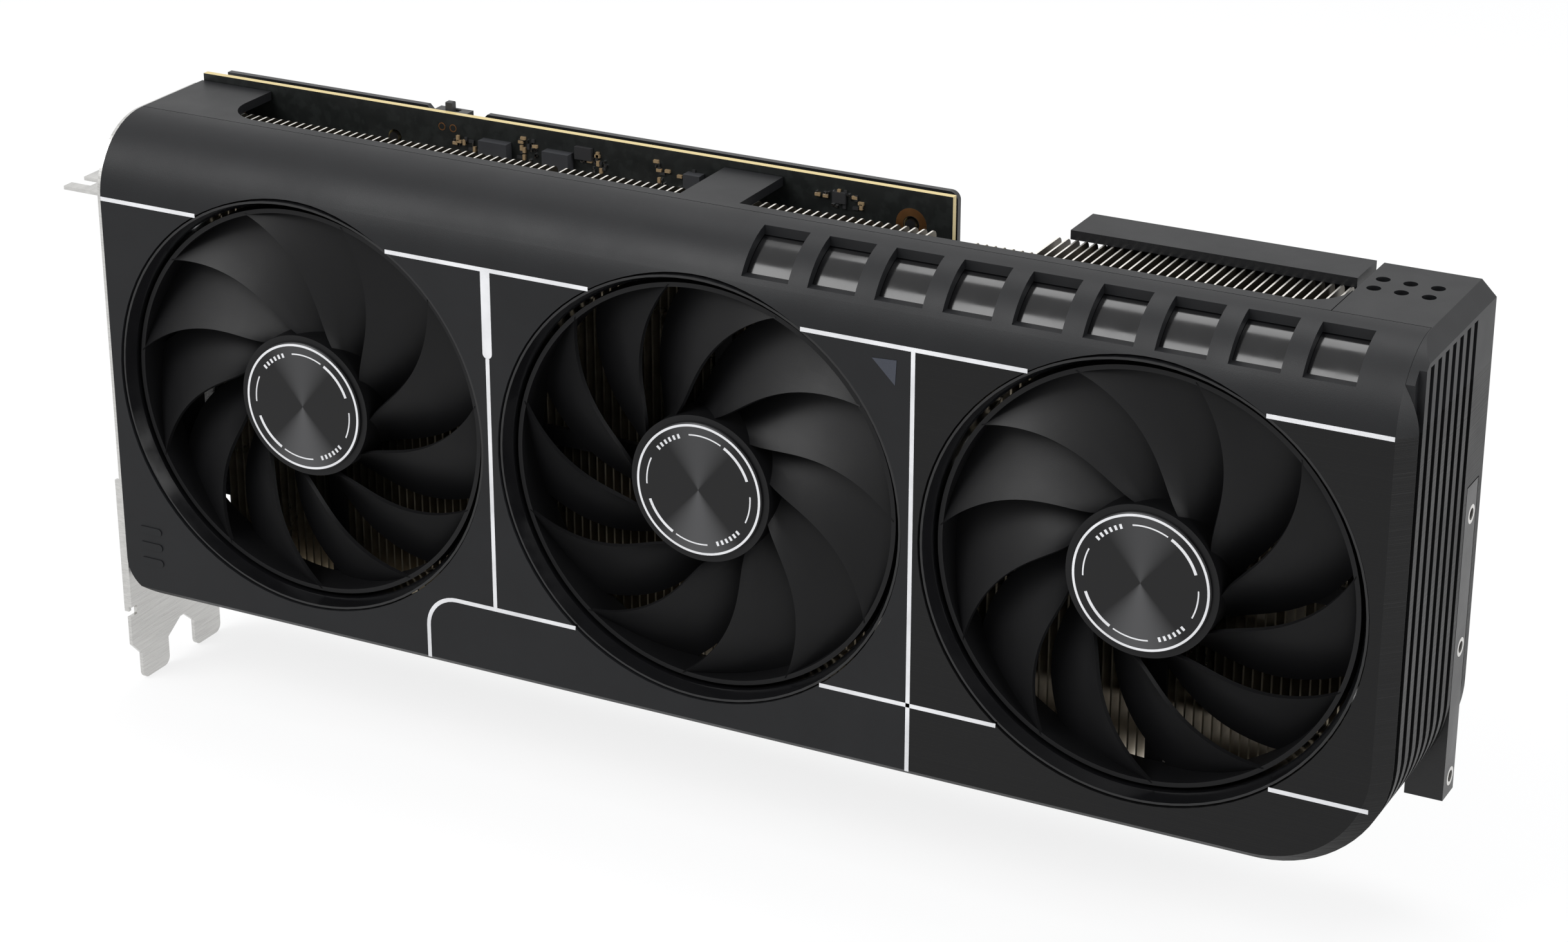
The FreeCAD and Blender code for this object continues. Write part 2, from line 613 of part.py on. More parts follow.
# The leading edge sweeps back with radius: share of the hub-to-ring reach, degrees.
BLADE_SWEEP = [(0.0, 0.0), (0.06, 8.0), (0.18, 16.0), (0.32, 22.0), (0.48, 28.0), (0.65, 34.5),
               (0.81, 41.0), (1.0, 50.0)]


def blade_section(radius, lead, hand):
    """A slanted quadrilateral at one radius, from the leading to the trailing edge."""
    front, back = num("dims.blade_front"), num("dims.blade_back")
    half = math.radians(num("dims.blade_wrap") / 2) * hand
    middle = lead * hand + half
    chord = radius * math.sin(half)
    outward = V(math.cos(middle), 0, math.sin(middle))
    along = V(-math.sin(middle), 0, math.cos(middle))
    centre = outward * (radius * math.cos(half)) + V(0, (front + back) / 2, 0)
    slope = along * chord + V(0, (back - front) / 2, 0)
    side = V(slope).normalize().cross(outward) * (num("dims.blade_t") / 2)
    corners = [centre - slope - side, centre + slope - side, centre + slope + side,
               centre - slope + side]
    return Part.makePolygon(corners + corners[:1])


def rotor_shape(hand):
    """Hub cup, swept blades and the outer ring that ties their tips; hand is 1 or -1."""
    inner = num("dims.hub_r - dims.hub_t / 3")
    outer = num("dims.ring_r - dims.ring_t / 2")
    reach = outer / math.cos(math.radians(num("dims.blade_wrap") / 2))
    sections = [blade_section(inner + (reach - inner) * share, math.radians(-sweep), hand)
                for share, sweep in BLADE_SWEEP]
    room = Part.makeCylinder(outer, num("dims.ring_back"), V(0, 0, 0), V(0, 1, 0))
    blade = Part.makeLoft(sections, True, False).common(room)
    turn = 360 / count("blade_count")
    blades = []
    for index in range(count("blade_count")):
        copy = blade.copy()
        copy.rotate(V(0, 0, 0), V(0, 1, 0), index * turn)
        blades.append(copy)
    ring = tube_shape("dims.ring_r", "dims.ring_r - dims.ring_t", "dims.ring_front",
                      "dims.ring_back")
    cup = tube_shape("dims.hub_r", "dims.hub_r - dims.hub_t", "dims.hub_front", "dims.hub_back")
    lid = tube_shape("dims.hub_r - dims.hub_t / 2", "dims.shaft_r + dims.face_gap",
                     "dims.hub_front", "dims.hub_front + dims.hub_t")
    return cup.multiFuse([lid, ring] + blades)


def tube_shape(outer, inner, start, end):
    """A tube about the Y axis; start and end are depths from the front face."""
    low, high = num(start), num(end)
    tube = Part.makeCylinder(num(outer), high - low, V(0, low, 0), V(0, 1, 0))
    return tube.cut(Part.makeCylinder(num(inner), high - low, V(0, low, 0), V(0, 1, 0)))


def ring_body(label, index, outer, inner, start, end):
    """A turned ring or sleeve on one fan's axis."""
    body = new_body(label)
    turned(body, [(inner, start), (outer, start), (outer, end), (inner, end)])
    return place(body, fan_x(index), FRONT_Y, "dims.fan_z")


def make_fan(index, rotor):
    number = index + 1
    item = shaped(f"fan_rotor_{number}", rotor)
    item.Placement = FreeCAD.Placement(
        V(num(fan_x(index)), num(FRONT_Y), num("dims.fan_z")),
        FreeCAD.Rotation(V(0, 1, 0), num(f"dims.fan_turn_{number}")))
    disc = new_body(f"hub_badge_{number}")
    front = "dims.hub_front - dims.cap_t"
    turned(disc, [("0", front), ("dims.cap_r - 0.3", front), ("dims.cap_r", f"{front} + 0.3"),
                  ("dims.cap_r", "dims.hub_front"), ("0", "dims.hub_front")])
    place(disc, fan_x(index), FRONT_Y, "dims.fan_z")
    shaft = new_body(f"fan_shaft_{number}")
    turned(shaft, [("0", "dims.hub_front"), ("dims.shaft_r", "dims.hub_front"),
                   ("dims.shaft_r", "dims.shaft_back - 0.4"),
                   ("dims.shaft_r - 0.4", "dims.shaft_back"), ("0", "dims.shaft_back")])
    place(shaft, fan_x(index), FRONT_Y, "dims.fan_z")
    magnet = "dims.hub_r - dims.hub_t - dims.face_gap"
    ring_body(f"magnet_ring_{number}", index, magnet, f"{magnet} - dims.magnet_t",
              "dims.magnet_front", "dims.hub_back")
    ring_body(f"fan_bearing_{number}", index, "dims.bearing_r", "dims.shaft_r + dims.shaft_fit",
              "dims.stator_front - 0.6", "dims.duct_back")
    make_stator(index)
    make_fan_frame(index)


def make_stator(index):
    """Laminated poles with a gap between the winding heads."""
    body = new_body(f"fan_stator_{index + 1}")
    blank = turned(body, [("dims.tube_r + dims.face_gap", "dims.stator_front"),
                          ("dims.stator_r", "dims.stator_front"),
                          ("dims.stator_r", "dims.stator_back"),
                          ("dims.tube_r + dims.face_gap", "dims.stator_back")])
    slot = prism(body, "Y", "dims.stator_front - 1", "dims.stator_back + 1",
                 rectangle("dims.tube_r + 2", "dims.stator_r + 1", "-0.9", "0.9"), cut=True)
    pattern = body.newObject("PartDesign::PolarPattern", f"{body.Name}_poles")
    pattern.Originals = [slot]
    axis = [entry for entry in body.Origin.OriginFeatures if entry.Role == "Y_Axis"][0]
    pattern.Axis = (axis, [""])
    pattern.Angle = 360
    pattern.Occurrences = 6
    body.Tip = pattern
    place(body, fan_x(index), FRONT_Y, "dims.fan_z")


def ear_places(index=None):
    """The four screw places round one fan, in its own plane or in the card's."""
    spots = []
    for quarter in range(4):
        angle = math.radians(45 + 90 * quarter)
        x = f"dims.ear_reach * {round(math.cos(angle), 6)}"
        z = f"dims.ear_reach * {round(math.sin(angle), 6)}"
        if index is not None:
            x, z = f"{fan_x(index)} + {x}", f"dims.fan_z + {z}"
        spots.append((x, z))
    return spots


def make_fan_frame(index):
    """Motor base, bearing tube, struts and the outer ring that screws to the shroud."""
    body = new_body(f"fan_frame_{index + 1}")
    front, back = "dims.duct_back", FRAME_DEPTH
    ring_in = "dims.duct_bore"
    turned(body, [(ring_in, front), (f"{ring_in} + dims.frame_ring_w", front),
                  (f"{ring_in} + dims.frame_ring_w", back), (ring_in, back)])
    prism(body, "Y", front, back, circles(ear_places(), "dims.ear_r + 2.4"))
    strut = prism(body, "Y", front, back,
                  rectangle("dims.motor_base_r - 1", f"{ring_in} + 1", "-dims.strut_w / 2",
                            "dims.strut_w / 2"))
    pattern = body.newObject("PartDesign::PolarPattern", f"{body.Name}_struts")
    pattern.Originals = [strut]
    axis = [entry for entry in body.Origin.OriginFeatures if entry.Role == "Y_Axis"][0]
    pattern.Axis = (axis, [""])
    pattern.Angle = 360
    pattern.Occurrences = count("strut_count")
    body.Tip = pattern
    doc.recompute()
    base = new_base_disc(body, front, back)
    prism(body, "Y", front, back, circles(ear_places(), "dims.boss_hole_r + 0.15"), cut=True)
    place(body, fan_x(index), FRONT_Y, "dims.fan_z")
    return base


def new_base_disc(body, front, back):
    """Motor base with the bearing tube standing on it."""
    bore = "dims.bearing_r"
    return turned(body, [(f"{bore}", "dims.stator_front"), ("dims.tube_r", "dims.stator_front"),
                         ("dims.tube_r", front), ("dims.motor_base_r", front),
                         ("dims.motor_base_r", back), ("dims.shaft_r + 0.6", back),
                         ("dims.shaft_r + 0.6", front), (bore, front)])


def screw(name, axis, x, y, z, shank_r, shank_len, head_r, head_t):
    """A pan-head screw whose seat is at x, y, z, with the shank along +axis."""
    body = doc.addObject("PartDesign::Body", name)
    if axis == "Y":
        turned(body, [("0", f"-({head_t})"), (head_r, f"-({head_t})"), (head_r, "0"),
                      (shank_r, "0"), (shank_r, shank_len), ("0", shank_len)])
    else:
        turned(body, [("0", head_t), (head_r, head_t), (head_r, "0"), (shank_r, "0"),
                      (shank_r, f"-({shank_len})"), ("0", f"-({shank_len})")])
    return place(body, x, y, z)


def make_fan_screws():
    """Screws from behind: each head sits on the frame's back face."""
    items = []
    for index in range(3):
        for quarter, (x, z) in enumerate(ear_places(index)):
            items.append(screw(f"fan_screw_{index}_{quarter}", "-Y", x, depth(FRAME_DEPTH), z,
                               "dims.screw_r", "dims.frame_t + 5", "dims.screw_head_r",
                               "dims.screw_head_t"))
    group("fan_screws", items)


def make_duct_rings():
    rings = []
    for index in range(3):
        body = doc.addObject("PartDesign::Body", f"duct_ring_{index + 1}")
        turned(body, [("dims.duct_r - dims.duct_lip", "dims.duct_lip"),
                      ("dims.duct_r", "dims.duct_lip"), ("dims.duct_r", "dims.duct_back"),
                      ("dims.duct_bore", "dims.duct_back"), ("dims.duct_bore", "dims.duct_cone")])
        place(body, fan_x(index), FRONT_Y, "dims.fan_z")
        rings.append(body)
    group("duct_rings", rings)


# ---------------------------------------------------------------- casing

FAR = "40"


def make_end_tool(name, front, back):
    """The crescent that the ribbed end piece fills."""
    body = doc.addObject("PartDesign::Body", name)
    prism(body, "Y", front, back,
          rounded(at("dims.shell_len + dims.end_bevel - dims.corner_low_far - 60"), END_X,
                  "dims.shell_low", f"dims.shell_top + {FAR}", "dims.corner_low_far"))
    inner = "dims.corner_low_far - dims.wall"
    prism(body, "Y", front, back,
          rounded(at("dims.shell_len + dims.end_bevel - dims.corner_low_far - 70"),
                  f"{END_X} - dims.end_skin", "dims.shell_low + dims.wall",
                  f"dims.shell_top + {FAR} + 5", inner), cut=True)
    prism(body, "Y", front, back,
          rectangle(at("dims.shell_len - 90"), f"{END_X} - dims.corner_low_far",
                    "dims.shell_low - 5", f"dims.shell_top + {FAR} + 20"), cut=True)
    return body


def shell_blank(name, inset, front, back):
    """The front shell's outer form, or its hollow when inset is the wall."""
    body = doc.addObject("PartDesign::Body", name)
    x0 = at(f"dims.seam_gap / 2 + ({inset})")
    x1 = f"({END_X} - ({inset}))"
    z0, z1 = f"(dims.shell_low + ({inset}))", f"(dims.shell_top - ({inset}))"
    blank = prism(body, "Y", front, back, rectangle(x0, x1, z0, z1))
    low_far = round_edges(body, blank, f"dims.corner_low_far - ({inset})",
                          lambda p: near(p.x, x1) and near(p.z, z0))
    low_near = round_edges(body, low_far, f"dims.corner_low_near - ({inset})",
                           lambda p: near(p.x, x0) and near(p.z, z0))
    body.Tip = round_edges(body, low_near, f"dims.top_round - ({inset})",
                           lambda p: near(p.y, front) and near(p.z, z1))
    return body


def bevelled_blank(front, back):
    """A larger form whose bevel is full at the far edge and narrow along the bottom."""
    body = doc.addObject("PartDesign::Body", "shell_bevelled")
    x0, z0 = at("-20"), "(dims.shell_low - dims.end_bevel + dims.low_bevel)"
    blank = prism(body, "Y", front, back, rectangle(x0, END_X, z0, "dims.shell_top"))
    corner = round_edges(body, blank, "dims.corner_low_far + dims.end_bevel - dims.low_bevel",
                         lambda p: near(p.x, END_X) and near(p.z, z0))
    top = round_edges(body, corner, "dims.top_round",
                      lambda p: near(p.y, front) and near(p.z, "dims.shell_top"))
    body.Tip = round_edges(body, top, "dims.end_bevel",
                           lambda p: near(p.y, front) and near(p.x, END_X),
                           "PartDesign::Chamfer")
    return body


def make_front_shell():
    front, back = FRONT_Y, depth("dims.seam_depth")
    outer = doc.addObject("Part::Common", "shell_outer")
    outer.Base = shell_blank("shell_plain", "0", front, back)
    outer.Tool = bevelled_blank(front, back)
    hollow = shell_blank("shell_hollow", "dims.wall", depth("dims.wall"),
                         f"{back} + dims.wall")
    crescent = make_end_tool("shell_end_room", depth("dims.rib_start - dims.face_gap"),
                             f"{back} + 1")
    tools = [hollow, crescent]
    for index in range(3):
        tools.append(rod(f"opening_{index}", "Y", fan_x(index), f"{front} - 1", "dims.fan_z",
                         "dims.opening_r", "dims.wall + 6"))
    for index in range(count("slot_count")):
        x = at(f"dims.slot_first + {index} * dims.slot_pitch")
        tools.append(box(f"accent_slot_{index}", x, f"{x} + dims.slot_w", f"{front} - 1",
                         depth("dims.slot_back"), "dims.slot_low", "dims.shell_top + 1"))
    shell = minus("front_shell", outer, *tools)
    bosses = []
    for index in range(3):
        for quarter, (x, z) in enumerate(ear_places(index)):
            boss = rod(f"boss_{index}_{quarter}", "Y", x, depth("dims.wall - 0.5"), z,
                       "dims.ear_r", "dims.duct_back - dims.wall + 0.5")
            hole = rod(f"boss_hole_{index}_{quarter}", "Y", x, depth("dims.duct_back - 6"), z,
                       "dims.boss_hole_r", "7")
            bosses.append(minus(f"boss_part_{index}_{quarter}", boss, hole))
    keep("front_shell", joined("front_shell_whole", shell, *bosses))


def make_accent_panel():
    """Curved glossy strip behind the slots, following the inside of the rounded edge."""
    radius = num("dims.top_round - dims.wall - dims.accent_gap")
    thick = num("dims.accent_t")
    centre = (num(depth("dims.top_round")), num("dims.shell_top - dims.top_round"))
    x0 = num(at("dims.slot_first - 3"))
    x1 = num(at("dims.slot_first + (dims.slot_count - 1) * dims.slot_pitch + dims.slot_w + 3"))
    low, high = math.radians(148), math.radians(104)

    def spot(r, angle):
        return V(x0, centre[0] + r * math.cos(angle), centre[1] + r * math.sin(angle))

    middle = (low + high) / 2
    outer = Part.Arc(spot(radius, low), spot(radius, middle), spot(radius, high)).toShape()
    inner_r = radius - thick
    inner = Part.Arc(spot(inner_r, high), spot(inner_r, middle), spot(inner_r, low)).toShape()
    caps = [Part.LineSegment(spot(radius, high), spot(inner_r, high)).toShape(),
            Part.LineSegment(spot(inner_r, low), spot(radius, low)).toShape()]
    outline = Part.Wire([outer, caps[0], inner, caps[1]])
    shaped("accent_panel", Part.Face(outline).extrude(V(x1 - x0, 0, 0)))


def make_mid_frame():
    """The frame round the fins, with two windows along the top and slots below."""
    body = new_body("mid_frame")
    front, back = depth("dims.seam_depth + dims.seam_gap"), depth("dims.frame_back")
    x0, x1 = at("dims.seam_gap / 2"), f"({END_X} - dims.end_skin - 2 * dims.face_gap)"
    z0, z1 = "(dims.shell_low + dims.wall + 2 * dims.face_gap)", "dims.shell_top"
    radius = "dims.corner_low_far - dims.wall - 2 * dims.face_gap"
    blank = prism(body, "Y", front, back, rectangle(x0, x1, z0, z1))
    corner = round_edges(body, blank, radius, lambda p: near(p.x, x1) and near(p.z, z0))
    body.Tip = corner
    wall = "dims.wall"
    prism(body, "Y", f"{front} - 1", f"{back} + 1",
          rounded(at("-30"), f"{x1} - {wall}", f"{z0} + {wall}", f"{z1} - {wall}",
                  f"{radius} - {wall}"), cut=True)
    prism(body, "Y", f"{front} - 1", f"{back} + 1",
          rectangle(at("-30"), f"{x1} - {wall}", "dims.fan_z", f"{z1} - {wall}"), cut=True)
    cap = at("dims.shell_len + dims.end_bevel - dims.cap_len - dims.seam_gap")
    prism(body, "Z", f"{z1} - {wall} - 1", f"{z1} + 1",
          rectangle(cap, f"{x1} + 1", f"{front} - 1", f"{back} + 1"), cut=True)
    prism(body, "Z", z0, z1, rectangle(x0, f"{x0} + {wall}", front, depth("dims.near_wall")))
    gap = "dims.fit_gap"
    prism(body, "Z", "0", f"dims.brace_high + {gap}",
          rectangle(f"{END_X} - dims.brace_foot - {gap}", f"{x1} + 1",
                    depth(f"dims.brace_front - {gap}"), f"{back} + 1"), cut=True)
    prism(body, "Z", f"{z1} - {wall} - 1", f"{z1} + 1",
          rectangle(at(f"dims.bar_near - {gap}"), at(f"dims.bar_far + {gap}"),
                    depth(f"dims.bar_front - {gap}"), f"{back} + 1"), cut=True)
    # Each window runs back to the board, and its outer front corner is rounded.
    top = (f"{z1} - {wall} - 1", f"{z1} + 1")
    lip = depth("dims.win_front")
    bend = "dims.win_round"
    near_end, far_end = at("dims.win_near"), at("dims.win_mid_a")
    prism(body, "Z", *top, rectangle(f"{near_end} + {bend}", far_end, lip, f"{back} + 1"), cut=True)
    prism(body, "Z", *top, rectangle(near_end, f"{near_end} + {bend} + 1", f"{lip} + {bend}",
                                     f"{back} + 1"), cut=True)
    prism(body, "Z", *top, circles([(f"{near_end} + {bend}", f"{lip} + {bend}")], bend), cut=True)
    near_end, far_end = at("dims.win_mid_b"), cap
    prism(body, "Z", *top, rectangle(near_end, f"{far_end} - {bend}", lip, f"{back} + 1"), cut=True)
    prism(body, "Z", *top, rectangle(f"{far_end} - {bend} - 1", f"{far_end} + 0.1",
                                     f"{lip} + {bend}", f"{back} + 1"), cut=True)
    prism(body, "Z", *top, circles([(f"{far_end} - {bend}", f"{lip} + {bend}")], bend), cut=True)
    slot = prism(body, "Z", f"{z0} - 1", f"{z0} + {wall} + 1",
                 rounded(at("24"), at("48"), depth("20.5"), depth("35.5"), "3"), cut=True)
    repeat(body, slot, "X_Axis", "30 * 7", 8)


def make_end_cap():
    """Ribbed end piece with a flat cap on the top edge."""
    front, back = depth("dims.rib_start"), depth("dims.end_depth")
    blank = make_end_tool("end_blank", front, back)
    over = box("end_over", at("150"), f"{END_X} + 5", f"{front} - 5", f"{back} + 5",
               "dims.shell_top", f"dims.shell_top + {FAR} + 50")
    curve = shell_blank("end_curve", "0", FRONT_Y, f"{back} + 1")
    trimmed = doc.addObject("Part::Common", "end_trimmed")
    trimmed.Base = minus("end_side", blank, over)
    trimmed.Tool = curve
    cap = box("end_cap_top", at("dims.shell_len + dims.end_bevel - dims.cap_len"), END_X,
              depth("dims.seam_depth + dims.seam_gap"), back, "dims.shell_top - dims.wall",
              "dims.shell_top")
    whole = joined("end_joined", trimmed, cap)
    tools = []
    for index in range(count("rib_count")):
        y0 = f"dims.rib_start + {index} * dims.rib_pitch"
        outer = make_end_tool(f"groove_{index}", depth(y0), depth(f"{y0} + dims.groove_w"))
        keep_in = doc.addObject("PartDesign::Body", f"groove_keep_{index}")
        prism(keep_in, "Y", depth(f"{y0} - 0.5"), depth(f"{y0} + dims.groove_w + 0.5"),
              rounded(at("100"), f"{END_X} - dims.groove_deep", "dims.shell_low + dims.groove_deep",
                      f"dims.shell_top + {FAR} + 30",
                      "dims.corner_low_far - dims.groove_deep"))
        lid = box(f"groove_lid_{index}", at("100"), f"{END_X} + 5", depth(f"{y0} - 0.5"),
                  depth(f"{y0} + dims.groove_w + 0.5"), "dims.shell_top - dims.cap_chamfer - 1",
                  f"dims.shell_top + {FAR} + 60")
        tools.append(minus(f"groove_cut_{index}", outer, keep_in, lid))
    hole_x = f"({END_X} - 9)"
    for line in range(2):
        for column in range(3):
            tools.append(rod(f"cap_hole_{line}_{column}", "Z",
                             f"{hole_x} - {column} * dims.cap_hole_pitch",
                             depth(f"33 + {line} * dims.cap_hole_pitch"),
                             "dims.shell_top - dims.wall - 1", "dims.cap_hole_r", "dims.wall + 2"))
    gap = "dims.fit_gap"
    tools.append(box("brace_room", f"{END_X} - dims.brace_foot - {gap}", f"{END_X} + 1",
                     depth(f"dims.brace_front - {gap}"),
                     depth(f"dims.brace_front + dims.brace_w + {gap}"), "-5",
                     f"dims.brace_high + {gap}"))
    edge = doc.addObject("Part::Box", "cap_edge")
    for field in ("Length", "Height"):
        edge.setExpression(field, "dims.cap_chamfer * 1.41421356")
    edge.setExpression("Width", "dims.end_depth + 20")
    edge.Placement = FreeCAD.Placement(V(0, 0, 0), FreeCAD.Rotation(V(0, 1, 0), -45))
    place(edge, END_X, f"{FRONT_Y} - 5", "dims.shell_top - dims.cap_chamfer")
    tools.append(edge)
    keep("end_cap", minus("end_cap_cut", whole, *tools))


def make_top_bar():
    body = new_body("top_bar")
    x0, x1 = at("dims.bar_near"), at("dims.bar_far")
    y0, y1 = depth("dims.bar_front"), depth("dims.bar_back")
    blank = prism(body, "Z", "dims.shell_top - dims.bar_t", "dims.shell_top",
                  rectangle(x0, x1, y0, y1))
    prism(body, "Z", "dims.back_top_far", "dims.shell_top - dims.bar_t",
          rectangle(f"{x0} + 4", x1, f"{y1} - dims.rim_t", y1))
    return blank


# ---------------------------------------------------------------- back of the board

def make_backplate():
    body = new_body("backplate")
    front, back = f"({BOARD_BACK} + dims.rim_gap)", BACK_Y
    x0, x1 = at("1"), f"({END_X} - dims.end_skin - 0.6)"
    step = f"({BOARD_END} - dims.back_step)"
    low_a, low_b, top = "dims.back_low_near", "dims.back_low_far", "dims.back_top"
    high, far = "dims.back_high", "dims.back_top_far"
    turn = at("150")
    rows = [(x0, low_a), (turn, low_a), (f"{turn} + 6", low_b), (x1, low_b), (x1, far), (step, far),
            (step, high), (at("dims.high_b0"), high), (at("dims.high_b0 - 2"), top),
            (at("dims.high_a1 + 2"), top), (at("dims.high_a1"), high), (x0, high)]
    blank = prism(body, "Y", front, back, polygon(rows))
    body.Tip = round_edges(body, blank, "dims.corner_back",
                           lambda p: near(p.x, x1) and near(p.z, low_b))
    body.Tip = round_edges(body, body.Tip, "dims.corner_board",
                           lambda p: near(p.x, step) and near(p.z, high))
    r = "dims.rim_t"
    # The rim runs round the bottom and the far end; the board's part has a bare edge.
    inner = [(f"{x0} + {r}", f"{low_a} + {r}"), (turn, f"{low_a} + {r}"),
             (f"{turn} + 6", f"{low_b} + {r}"), (f"{x1} - {r}", f"{low_b} + {r}"),
             (f"{x1} - {r}", f"{far} - {r}"), (f"{step} + 1", f"{far} - {r}"),
             (f"{step} + 1", f"{high} + 1"), (f"{x0} - 1", f"{high} + 1"),
             (f"{x0} - 1", f"{high} - 8"), (f"{x0} + {r}", f"{high} - 8")]
    panel = f"({back} - dims.panel_t)"
    prism(body, "Y", f"{front} - 1", panel, polygon(inner), cut=True)
    prism(body, "Y", f"{BOARD_BACK}", back, circles(SCREW_PLACES, "dims.post_r"))
    prism(body, "Y", f"{BOARD_BACK} - 1", f"{back} + 1", circles(SCREW_PLACES, "dims.boss_hole_r + 0.25"),
          cut=True)
    prism(body, "Y", f"{back} - dims.head_t - 0.1", f"{back} + 1",
          circles(SCREW_PLACES, "dims.head_r + 0.15"), cut=True)
    vent = prism(body, "Y", f"{panel} - 1", f"{back} + 1",
                 rounded(at("dims.vent_first"), at("dims.vent_first + dims.vent_w"),
                         "dims.vent_low", "dims.vent_high", "dims.vent_w / 2 - 0.05"), cut=True)
    repeat(body, vent, "X_Axis", "dims.vent_pitch * (dims.vent_count - 1)", count("vent_count"))


def make_back_screws():
    items = []
    for index, (x, z) in enumerate(SCREW_PLACES):
        items.append(screw(f"back_screw_{index}", "-Y", x, f"{BACK_Y} - dims.head_t - 0.05", z,
                           "1.2", "dims.back_depth + 1", "dims.head_r", "dims.head_t"))
    group("backplate_screws", items)


def make_spring_bracket():
    """Crossed steel arms that pull the cold plate onto the chip."""
    body = new_body("spring_bracket")
    y0, y1 = f"({BOARD_BACK} + dims.face_gap)", f"({BOARD_BACK} + dims.face_gap + dims.spring_t)"
    reach = "dims.mount_pitch / 2"
    tip = "(dims.mount_pitch / 2 + dims.spring_w / sqrt(2))"
    for side in ("", "-"):
        corners = [(reach, tip), (f"-{tip}", f"-{reach}"), (f"-{reach}", f"-{tip}"), (tip, reach)]
        prism(body, "Y", y0, y1,
              polygon([(f"{GPU_X} + {side}({x})", f"dims.gpu_z + ({z})") for x, z in corners]))
    prism(body, "Y", y0, y1, circles(MOUNT_PLACES, "dims.board_hole_r"), cut=True)
    items = []
    for index, (x, z) in enumerate(MOUNT_PLACES):
        items.append(screw(f"cooler_screw_{index}", "-Y", x, y1, z, "dims.screw_r", "7.5", "3",
                           "1.8"))
    group("cooler_screws", items)


# ---------------------------------------------------------------- bracket and sockets

def tab_edges(index):
    middle = f"(dims.tab_first + {index} * dims.slot_pitch_std)"
    return depth(f"{middle} - dims.tab_w / 2"), depth(f"{middle} + dims.tab_w / 2")


def make_bracket():
    body = new_body("io_bracket")
    x0, x1 = f"({BRACKET_X} - dims.bracket_t)", BRACKET_X
    foot = "dims.foot_z"
    front, back = depth("dims.plate_front"), depth("dims.plate_back")
    (a0, a1), (b0, b1) = tab_edges(0), tab_edges(1)
    root, arch = f"({foot} + dims.tab_root)", f"({foot} + dims.arch_rise)"
    shoulder = f"({foot} + dims.shoulder_z)"
    top = "(dims.shell_top - 0.3)"
    outline = [(front, top), (back, top), (back, "2"), (b1, "2"), (b1, foot), (b0, foot),
               (b0, root), (f"{b0} - 3.6", arch), (f"{a1} + 5", arch), (a1, root), (a1, foot),
               (a0, foot), (a0, root), (depth("-dims.plate_front"), shoulder),
               (depth("-dims.plate_front"), "dims.lip_low - 1"), (depth("2.2"), "dims.lip_low - 1"),
               (depth("2.2"), "dims.lip_low + 1.2"), (front, "dims.lip_low + 1.2")]
    blank = prism(body, "X", x0, x1, polygon(outline))
    round_top = round_edges(body, blank, "dims.top_round - 0.3",
                            lambda p: near(p.y, front) and near(p.z, top))
    corners = round_edges(body, round_top, "dims.tab_round", lambda p: near(p.z, foot)
                          and min(abs(p.y - num(edge)) for edge in (a0, a1, b0, b1)) < 1e-3)
    body.Tip = corners
    prism(body, "Y", front, f"{front} + dims.bracket_t",
          rectangle(f"{x0} - dims.lip_w", x0, "dims.lip_low", "dims.lip_high"))
    prism(body, "Z", f"{FOOT_TO_FLANGE} - dims.bracket_t", FOOT_TO_FLANGE,
          rectangle(f"{x0} - dims.flange_reach", x0, depth("dims.flange_front"), back))
    for index in range(2):
        middle = depth(f"dims.tab_first + {index} * dims.slot_pitch_std")
        prism(body, "Z", f"{FOOT_TO_FLANGE} - dims.bracket_t - 1", f"{FOOT_TO_FLANGE} + 1",
              rectangle(f"{x0} - dims.flange_reach - 1",
                        f"{x0} - dims.flange_reach + dims.notch_reach",
                        f"{middle} - dims.notch_w / 2", f"{middle} + dims.notch_w / 2"), cut=True)
    for x, z in TAB_PLACES:
        prism(body, "Y", f"{BOARD_FACE} - dims.bracket_t", BOARD_FACE,
              rectangle(x1, at("9.5"), f"{z} - 2.5", f"{z} + 2.5"))
        prism(body, "Y", f"{back} - dims.bracket_t", f"{BOARD_FACE}",
              rectangle(x0, x1, f"{z} - 2.5", f"{z} + 2.5"))
    prism(body, "Y", f"{BOARD_FACE} - 2", f"{BOARD_FACE} + 1",
          circles(TAB_PLACES, "dims.boss_hole_r + 0.25"), cut=True)
    gap = "dims.port_gap"
    holes = [port_outline(index, gap) for index in range(4)]
    prism(body, "X", f"{x0} - 1", f"{x1} + 1", *holes, cut=True)
    row = [rounded(depth(f"dims.grid_y + {column} * dims.grid_gap"),
                   depth(f"dims.grid_y + {column} * dims.grid_gap + dims.grid_w"),
                   "dims.grid_low", "dims.grid_low + dims.grid_h", "1.6") for column in range(2)]
    grid = prism(body, "X", f"{x0} - 1", f"{x1} + 1", *row, cut=True)
    repeat(body, grid, "Z_Axis", "dims.grid_pitch * (dims.grid_rows - 1)", count("grid_rows"))
    items = []
    for index, (x, z) in enumerate(TAB_PLACES):
        items.append(screw(f"bracket_screw_{index}", "Y", x, f"{BOARD_FACE} - dims.bracket_t", z,
                           "1.2", "dims.bracket_t + dims.board_t + 1", "2.2", "1.2"))
    group("bracket_screws", items)


PORT_Y = depth("dims.board_gap - dims.port_lift")


def port_middle(index):
    return f"(dims.port_first + {index} * dims.port_pitch)"


def port_height(index):
    return "dims.hdmi_h" if index == 0 else "dims.port_h"


def port_outline(index, grow):
    half = f"({port_height(index)} / 2 + ({grow}))"
    deep = f"(dims.port_t / 2 + ({grow}))"
    return rectangle(f"{PORT_Y} - {deep}", f"{PORT_Y} + {deep}",
                     f"{port_middle(index)} - {half}", f"{port_middle(index)} + {half}")


